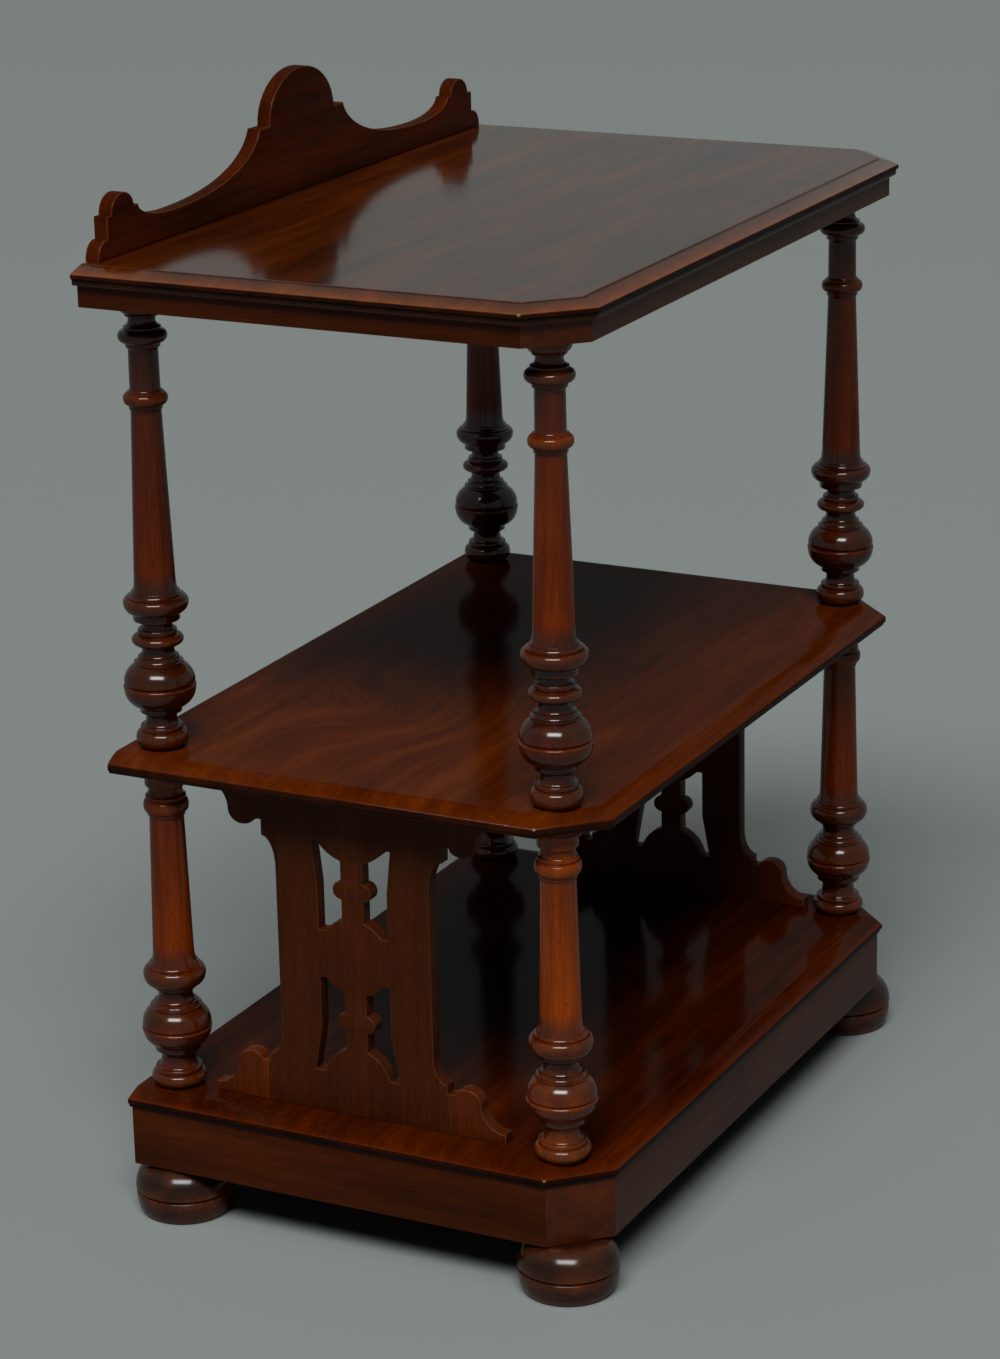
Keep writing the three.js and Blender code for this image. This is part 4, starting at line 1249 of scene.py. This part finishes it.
# %% [markdown]
# Now the colour of the wood. From the wood outwards: the figure picks one of four tones, pores
# and specks darken it, hands and dusters rub some stretches of the arrises and crests lighter,
# wax and painted shade darken the hollows, the undersides and the turned stretches, and a chip
# bares pale wood, which also paints the glint on a worn corner. The rubbing comes and goes every
# 16 mm or so, because an edge is never worn evenly. Each layer is a colour and a share of it,
# so a list of layers and one loop are enough to lay them all.

# %% The colour of the wood
COME_AND_GO = (0.44, 0.6)  # the noise between the least and the most rubbed stretches


def flecked(material, source, size, grain, levels, share):
    """Small flecks of some share, where a noise of their size rises between two levels."""
    noise = stretched(material, source, *size, grain, 0)
    open_up = {"From Min": levels[0], "From Max": levels[1], "To Max": share}
    return add_node(material, "ShaderNodeMapRange", open_up, {"Value": noise}).outputs[0]


def uneven(material, attribute_name, noise, least, most):
    """How much of a rubbed or hidden share shows, which comes and goes with a noise."""
    attribute = add_node(material, "ShaderNodeAttribute", {"attribute_name": attribute_name})
    low, high = COME_AND_GO
    come_and_go = {"From Min": low, "From Max": high, "To Min": least, "To Max": most}
    strength = add_node(material, "ShaderNodeMapRange", come_and_go, {"Value": noise}).outputs[0]
    product = {"operation": "MULTIPLY", "use_clamp": True}
    links = {0: attribute.outputs["Fac"], 1: strength}
    return add_node(material, "ShaderNodeMath", product, links).outputs[0]


def toned(material, shade, tones, spread):
    """The figure in four tones. The smaller the spread, the stronger they contrast."""
    places = (0.5 - spread, 0.5 - spread / 4, 0.5 + spread / 3, 0.5 + spread)
    stops = [(place, linear(tone)) for place, tone in zip(places, tones)]
    return add_node(material, "ShaderNodeValToRGB", {"stops": stops}, {"Fac": shade}).outputs[0]


def layered(material, colour, layers):
    """A colour with each layer laid over it by its own share."""
    for hex_colour, share in layers:
        settings = {"data_type": "RGBA", 7: linear(hex_colour)}
        colour = add_node(material, "ShaderNodeMix", settings, {0: share, 6: colour}).outputs[2]
    return colour


print("wear comes and goes between the noise levels", COME_AND_GO)

# %% [markdown]
# French polish is shellac rubbed on with a pad until a thin clear film stands on the wood. Its
# refractive index is about 1.5, and it gives a sharp reflection of its own, which is the
# shader's coat. The wood below adds none, except for a faint soft sheen on the dull trestles.
# A weak film stands for one that years of dusting have thinned.
#
# On turned work the film is thickest among the rings and bulbs, where no hand rubs it. On the
# top it is whole on the flat, while dull wax covers the hollow of the moulding. So a finish may
# give a second film for its hidden places. A slow wave in the film bends its reflections a
# little, and the pores and fibres roughen the wood by a fraction of a millimetre.

# %% The French polish
DULL_LEVELS = (0.3, 0.7)  # the noise between the brightest and the dullest patches
DULL_SPREAD = (-0.06, 0.08)  # what those patches add to the roughness
SHELLAC_IOR = 1.5
FIBRE_RELIEF = {"Strength": 0.6, "Distance": 0.2 * MM}
FILM_RELIEF = {"Strength": 1, "Distance": 0.14 * MM}


def polish(material, patch, relief, roughness, sheen, film, film_roughness, hollow_film):
    """The dull wood's surface and the clear film that stands on it."""
    shader = material.node_tree.nodes["Principled BSDF"]
    dull = {"From Min": DULL_LEVELS[0], "From Max": DULL_LEVELS[1]}
    dull |= {"To Min": roughness + DULL_SPREAD[0], "To Max": roughness + DULL_SPREAD[1]}
    rough = add_node(material, "ShaderNodeMapRange", dull, {"Value": patch})
    fibres = add_node(material, "ShaderNodeBump", FIBRE_RELIEF, {"Height": relief})
    wave = add_node(material, "ShaderNodeBump", FILM_RELIEF, {"Height": patch})
    shader.inputs["IOR"].default_value = SHELLAC_IOR
    shader.inputs["Specular IOR Level"].default_value = sheen
    shader.inputs["Coat Weight"].default_value = film
    shader.inputs["Coat IOR"].default_value = SHELLAC_IOR
    shader.inputs["Coat Roughness"].default_value = film_roughness
    links = {"Roughness": rough, "Normal": fibres, "Coat Normal": wave}
    if hollow_film is not None:
        darkened = add_node(material, "ShaderNodeAttribute", {"attribute_name": "cavity"})
        films = {"To Min": film, "To Max": hollow_film}
        value = {"Value": darkened.outputs["Fac"]}
        links["Coat Weight"] = add_node(material, "ShaderNodeMapRange", films, value)
    for socket, node in links.items():
        material.node_tree.links.new(node.outputs[0], shader.inputs[socket])


print("shellac: refractive index", SHELLAC_IOR)

# %% [markdown]
# The whole recipe comes last: figure, pores, specks, rubbing, wax, chips and polish. Every piece
# of mahogany uses it with its own tones and amounts. One recipe keeps the wood the same from
# piece to piece, which a material drawn up by hand for each of them wouldn't.

# %% Polished mahogany
RUBBED_MM = 16
RUBBED_LEAST = 0.7  # even the least rubbed stretch has this much of the rubbing
PORE_MM = (0.8, 9)
PORE_LEVELS = (0.6, 0.7)  # the noise has to rise this far before a pore opens
SPECK_MM = (3.2, 3.2)
SPECK_LEVELS = (0.74, 0.8)
WAX_AND_SHADE_SHARES = (0.75, 0.95)  # how dark the wax and painted shade make a hollow
POLISH_MM = 45  # size of the duller and brighter patches in the polish
PORE_DEPTH = 0.6  # against the height of the figure's own relief
# the colour of pores and specks, of wax, and of painted shade in hollows and under edges
GRIME_AND_SHADE = "#120502"
# pale bare wood of a chip, which also paints the glint on a worn corner
BARE_WOOD_AND_GLINT = "#8c6f52"


def mahogany(
    name, grain, figure, tones, worn, film, film_roughness, roughness=0.42, hollow_film=None,
    sheen=0.0, pores=0.25, specks=0.0, rubbed=0.6, spread=0.16, swirl=None, chips_and_glints=(),
):
    """Mahogany with its grain along an axis, under a share of shellac film."""
    material = bpy.data.materials.new(f"polished_mahogany_{name}")
    material.use_nodes = True
    coordinates = add_node(material, "ShaderNodeTexCoord").outputs["Object"]
    source = wandering(material, coordinates, grain)
    if swirl:
        source = led_round(material, source, *swirl)
    shade = weighted_figure(material, source, grain, figure)
    pore = flecked(material, source, PORE_MM, grain, PORE_LEVELS, pores)
    rub_noise = stretched(material, coordinates, RUBBED_MM, RUBBED_MM, grain, 2)
    rubs = uneven(material, "wear", rub_noise, RUBBED_LEAST * rubbed, rubbed)
    patch = stretched(material, source, POLISH_MM, POLISH_MM, grain, 4)
    # wax and painted shade: darker hollows, undersides, noses and turned stretches
    wax_and_shade = uneven(material, "cavity", patch, *WAX_AND_SHADE_SHARES)

    layers = [(GRIME_AND_SHADE, pore)]
    if specks:
        speck = flecked(material, coordinates, SPECK_MM, grain, SPECK_LEVELS, specks)
        layers.append((GRIME_AND_SHADE, speck))
    layers += [(worn, rubs), (GRIME_AND_SHADE, wax_and_shade)]
    layers += [(BARE_WOOD_AND_GLINT, within(material, coordinates, *chip_and_glint)) for chip_and_glint in chips_and_glints]
    colour = layered(material, toned(material, shade, tones, spread), layers)
    shader = material.node_tree.nodes["Principled BSDF"]
    material.node_tree.links.new(colour, shader.inputs["Base Color"])

    deep = {"operation": "MULTIPLY_ADD", 1: -PORE_DEPTH}
    relief = add_node(material, "ShaderNodeMath", deep, {0: pore, 2: shade}).outputs[0]
    polish(material, patch, relief, roughness, sheen, film, film_roughness, hollow_film)
    print(f"{material.name}: grain along {grain}, film {film}")


print("grime_and_shade", GRIME_AND_SHADE, "and bare wood", BARE_WOOD_AND_GLINT)

# %% [markdown]
# Finishes of the boards
#
# One wood, twelve finishes. Each is named for its piece, with its four tones from dark to light
# and the colour that it is rubbed to. The top is the show surface and has a full film. The
# shelf and the base board have seen more use, so their film is thinner. Each board has a chip
# where its left end meets the cut corner, the spot that gets knocked first, and its pale colour
# also paints the glint on that corner.
#
# One material for all boards would be simpler, but then the eye would take the three for one
# sheet. Every finish is the same recipe with its own amounts, so they still look like one wood.

# %% Finishes of the boards
def cut_corner(node):
    """The point on a board's arris where its left end meets its cut corner."""
    low, high = box_mm(node)
    return low.x, low.y + BOARDS[node]["cant"], high.z - BOARDS[node]["drop"]


# a deep sharp mirror over brown wood, and a pale rubbed edge
mahogany(
    "top_board", "x", "board", ("#220a00", "#381300", "#4b1d00", "#602904"), "#84400f",
    film=1.0, film_roughness=0.12, hollow_film=0.15, pores=0.2, spread=0.18, rubbed=0.9,
    chips_and_glints=[(cut_corner("top_board"), 2.4)],
)

# redder wood with a swirl, and a faint but sharp mirror
shelf_x, shelf_y, shelf_arris = cut_corner("middle_shelf")
mahogany(
    "shelf", "x", "board", ("#361100", "#491901", "#562102", "#652a04"), "#5e2408",
    film=0.17, film_roughness=0.12, spread=0.17, rubbed=0.5,
    swirl=((-150, 40, shelf_arris), 140, 80),  # its middle, its reach and its push
    chips_and_glints=[((shelf_x, shelf_y, shelf_arris), 2.2), ((shelf_x, shelf_y + 27, shelf_arris), 1.4)],
)

# the darkest board, its tones darkened partly as painted shade under the shelf,
# with the same faint mirror
mahogany(
    "base_board", "x", "board", ("#230800", "#340e00", "#431500", "#541f02"), "#642608",
    film=0.18, film_roughness=0.12, chips_and_glints=[(cut_corner("base_board"), 2)],
)

# %% [markdown]
# Finishes of the gallery and the rails
#
# These stand upright, so hands seldom polish them, and they look satin. Rails run their grain
# along their length: the gallery and the long rails need the X axis and the end ones the Y axis.

# %% Finishes of the gallery and the rails
# dark red-brown with hardly any mirror
mahogany(
    "gallery", "x", "board", ("#2a0c00", "#381100", "#441600", "#501b01"), "#6a3a1a",
    film=0.12, film_roughness=0.2, spread=0.15,
)

# satin, with a broad soft highlight along the front
mahogany(
    "long_rail", "x", "board", ("#300f02", "#3f1804", "#4a1e06", "#562608"), "#6e3c1c",
    film=0.42, film_roughness=0.25, roughness=0.45, rubbed=0.4,
)

# the same satin, a little darker and duller
mahogany(
    "end_rail", "y", "board", ("#2c0e00", "#391401", "#431a03", "#4d2005"), "#6e3c1c",
    film=0.2, film_roughness=0.25, roughness=0.45, rubbed=0.4,
)

# %% [markdown]
# Finishes of the columns
#
# Turned work is polished on the lathe to a high gloss, and the gloss lasts best among the rings
# and bulbs, where each crest shows a small bright light. The sticks differ: the lower columns
# are more orange than the upper ones, and the two at the front left, which stood in the sun, are
# the palest of their tier. So three finishes share one polish and differ in their tones.

# %% Finishes of the columns
COLUMN_POLISH = {
    "film": 0.3, "film_roughness": 0.15, "roughness": 0.38, "hollow_film": 0.9,
    "pores": 0.1, "specks": 0.5, "rubbed": 0.3, "spread": 0.15,
}
COLUMN_TONES = {
    # four tones from dark to light, then the colour that a crest is rubbed to
    "dark_column": ("#3e1200", "#511900", "#5f2100", "#6e2a00", "#863e0c"),
    "mid_column": ("#4e1900", "#652200", "#732a00", "#833300", "#96500f"),
    "pale_column": ("#662500", "#823200", "#943d00", "#a64a00", "#aa5a10"),
}

# warm orange-brown with small sharp lights on every crest
for name, (*tones, worn) in COLUMN_TONES.items():
    mahogany(name, "z", "turned", tones, worn, **COLUMN_POLISH)

# %% [markdown]
# Finishes of the trestles and the feet
#
# The trestles are dull and brown, with the grain upright and little film left. The brackets
# were sawn from another board, a little redder. The bun feet are turned with their grain level,
# dark from floor polish, and glossy round the belly.

# %% Finishes of the trestles and the feet
# dull brown with a faint sheen and next to no mirror
mahogany(
    "trestle", "z", "upright", ("#301203", "#3c1805", "#441c06", "#4e2209"), "#6a4426",
    film=0.06, film_roughness=0.3, roughness=0.5, sheen=0.06, rubbed=0.35,
)

# the same sheen on redder wood
mahogany(
    "bracket", "z", "upright", ("#341102", "#471902", "#542003", "#622806"), "#7a4420",
    film=0.12, film_roughness=0.3, roughness=0.5, sheen=0.06, rubbed=0.5,
)

# dark gloss, with paler wood where shoes and brooms have rubbed it
mahogany(
    "bun_foot", "x", "turned", ("#1e0900", "#361102", "#4a1b03", "#602908"), "#80421a",
    film=0.7, film_roughness=0.18, pores=0.3, specks=0.5, spread=0.12,
)

# %% [markdown]
# A finish for each piece
#
# The name of a piece says what it is, so a word in the name can choose the finish. The list is
# read from its top, which lets one column be an exception before the rest of its tier.

# %% A finish for each piece
PIECE_FINISHES = {
    "top_board": "top_board",
    "middle_shelf": "shelf",
    "base_board": "base_board",
    "gallery": "gallery",
    "upper_column_front_left": "mid_column",
    "upper_column": "dark_column",
    "lower_column_front_left": "pale_column",
    "lower_column": "mid_column",
    "trestle_scroll": "bracket",
    "trestle": "trestle",
    "foot": "bun_foot",
    "left_rail": "end_rail",
    "right_rail": "end_rail",
    "_": "long_rail",
}
for piece in smooth_pieces:
    finish = next(finish for word, finish in PIECE_FINISHES.items() if word in piece.name)
    piece.data.materials.append(bpy.data.materials[f"polished_mahogany_{finish}"])
print(len(set(PIECE_FINISHES.values())), "finishes on", len(smooth_pieces), "pieces")

# %% [markdown]
# Beech dowels
#
# The dowels in the trestles and the gallery are bare beech, a pale wood with fine flecks. They
# are hidden in their holes, so the construction's own nodes stay and only get this finish. Bare
# wood has no film, so it looks matt. Its flecks are about a millimetre wide.

# %% Beech dowels
BEECH_FLECK_MM = (0.9, 7)
BEECH_ROUGHNESS = 0.6

beech = bpy.data.materials.new("bare_beech")
beech.use_nodes = True
beech_shader = beech.node_tree.nodes["Principled BSDF"]
beech_place = add_node(beech, "ShaderNodeTexCoord").outputs["Object"]
flecks = stretched(beech, beech_place, *BEECH_FLECK_MM, "z", 2)
beech_stops = [(0.35, linear("#a9825a")), (0.62, linear("#c8a379"))]
beech_tone = add_node(beech, "ShaderNodeValToRGB", {"stops": beech_stops}, {"Fac": flecks})
beech.node_tree.links.new(beech_tone.outputs["Color"], beech_shader.inputs["Base Color"])
beech_shader.inputs["Roughness"].default_value = BEECH_ROUGHNESS
dowels = [node for name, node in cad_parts.items() if "dowel" in name]
for dowel in dowels:
    dowel.data.materials.clear()
    dowel.data.materials.append(beech)
print("dowels:", len(dowels))

# %% [markdown]
# The floor
#
# The floor is one pale matt sheet of painted board, large enough to fill the picture behind the
# etagere too. A small floor with a curved backdrop would do as well, but its edges would show in
# the polish. The paint is rough, so the floor mirrors no lamp and shows only the soft shadow
# under the plinth.

# %% The floor
FLOOR_SIZE = 80
FLOOR_COLOUR = "#8b9290"
FLOOR_ROUGHNESS = 0.9
FLOOR_SHEEN = 0.1

floor_mesh = bpy.data.meshes.new("floor")
half = FLOOR_SIZE / 2
floor_corners = [(-half, -half, 0), (half, -half, 0), (half, half, 0), (-half, half, 0)]
floor_mesh.from_pydata(floor_corners, [], [(0, 1, 2, 3)])
floor = bpy.data.objects.new("floor", floor_mesh)
bpy.context.scene.collection.objects.link(floor)
floor_paint = bpy.data.materials.new("floor_paint")
floor_paint.use_nodes = True
floor_shader = floor_paint.node_tree.nodes["Principled BSDF"]
floor_shader.inputs["Base Color"].default_value = linear(FLOOR_COLOUR)
floor_shader.inputs["Roughness"].default_value = FLOOR_ROUGHNESS
floor_shader.inputs["Specular IOR Level"].default_value = FLOOR_SHEEN
floor_mesh.materials.append(floor_paint)
print("floor:", FLOOR_SIZE, "m square")

# %% [markdown]
# The world
#
# The world has the same pale grey wherever the camera or a reflection looks, and much less of
# it as light, so that the inside of the lower tier stays dark. The light path node tells one
# kind of ray from another, which is how one background can be both.

# %% The world
BACKGROUND_COLOUR = "#848c8a"
WORLD_LIGHT = 0.12

world = bpy.data.worlds.new("studio")
world.use_nodes = True
bpy.context.scene.world = world
background = world.node_tree.nodes["Background"]
background.inputs["Color"].default_value = linear(BACKGROUND_COLOUR)
rays = add_node(world, "ShaderNodeLightPath")
seen = rays.outputs["Is Camera Ray"]
for ray in ("Is Glossy Ray", "Is Transmission Ray"):
    either = {"operation": "MAXIMUM"}
    seen = add_node(world, "ShaderNodeMath", either, {0: seen, 1: rays.outputs[ray]}).outputs[0]
brightness = {"To Min": WORLD_LIGHT, "To Max": 1}
strength = add_node(world, "ShaderNodeMapRange", brightness, {"Value": seen})
world.node_tree.links.new(strength.outputs[0], background.inputs["Strength"])
print("the world lights at", WORLD_LIGHT, "of what it shows")

# %% [markdown]
# The lamps
#
# The etagere was lit from high up behind the camera. A wide softbox hangs there, far off so that
# it lights the floor evenly, and gives each bulb its highlight. It shines more onto the left end
# than onto the front, and leaves the back of both lower tiers dark. A soft glow from above, which
# nothing mirrors, fills the rest. A point lamp would light as well, but its highlight would be a
# dot and its shadows hard.

# %% The lamps
STAGE_MIDDLE = Vector((0, 0, 0.5))
# angles in degrees, distances and sizes in metres
KEY = {"azimuth": -71, "height": 54, "distance": 60, "size": (39, 17), "radiance": 15.6}
CEILING = {"azimuth": -80, "height": 74, "distance": 5, "spread": 60, "level": 0.15}


def aimed(name, lamp, azimuth, height, distance):
    """A lamp at an azimuth and a height in degrees, turned towards the etagere."""
    a, h = math.radians(azimuth), math.radians(height)
    away = Vector((math.sin(a) * math.cos(h), -math.cos(a) * math.cos(h), math.sin(h)))
    stand = bpy.data.objects.new(name, lamp)
    stand.location = STAGE_MIDDLE + away * distance
    stand.rotation_mode = "QUATERNION"
    stand.rotation_quaternion = (-away).to_track_quat("-Z", "Y")
    bpy.context.scene.collection.objects.link(stand)
    return stand


softbox = bpy.data.lights.new("key_softbox", "AREA")
softbox.shape = "RECTANGLE"
softbox.size, softbox.size_y = KEY["size"]
softbox.energy = KEY["radiance"] * softbox.size * softbox.size_y * math.pi
aimed("key_softbox", softbox, KEY["azimuth"], KEY["height"], KEY["distance"])

glow = bpy.data.lights.new("ceiling_glow", "SUN")
glow.angle = math.radians(CEILING["spread"])
glow.energy = CEILING["level"] * math.pi
ceiling = aimed("ceiling_glow", glow, CEILING["azimuth"], CEILING["height"], CEILING["distance"])
ceiling.visible_glossy = False

bpy.context.scene.view_settings.view_transform = "Standard"
print("lamps:", softbox.name, "and", glow.name)

# %% [markdown]
# Update the scene
#
# The last cell brings every placement in the scene up to date.

# %% Update the scene
bpy.context.view_layer.update()
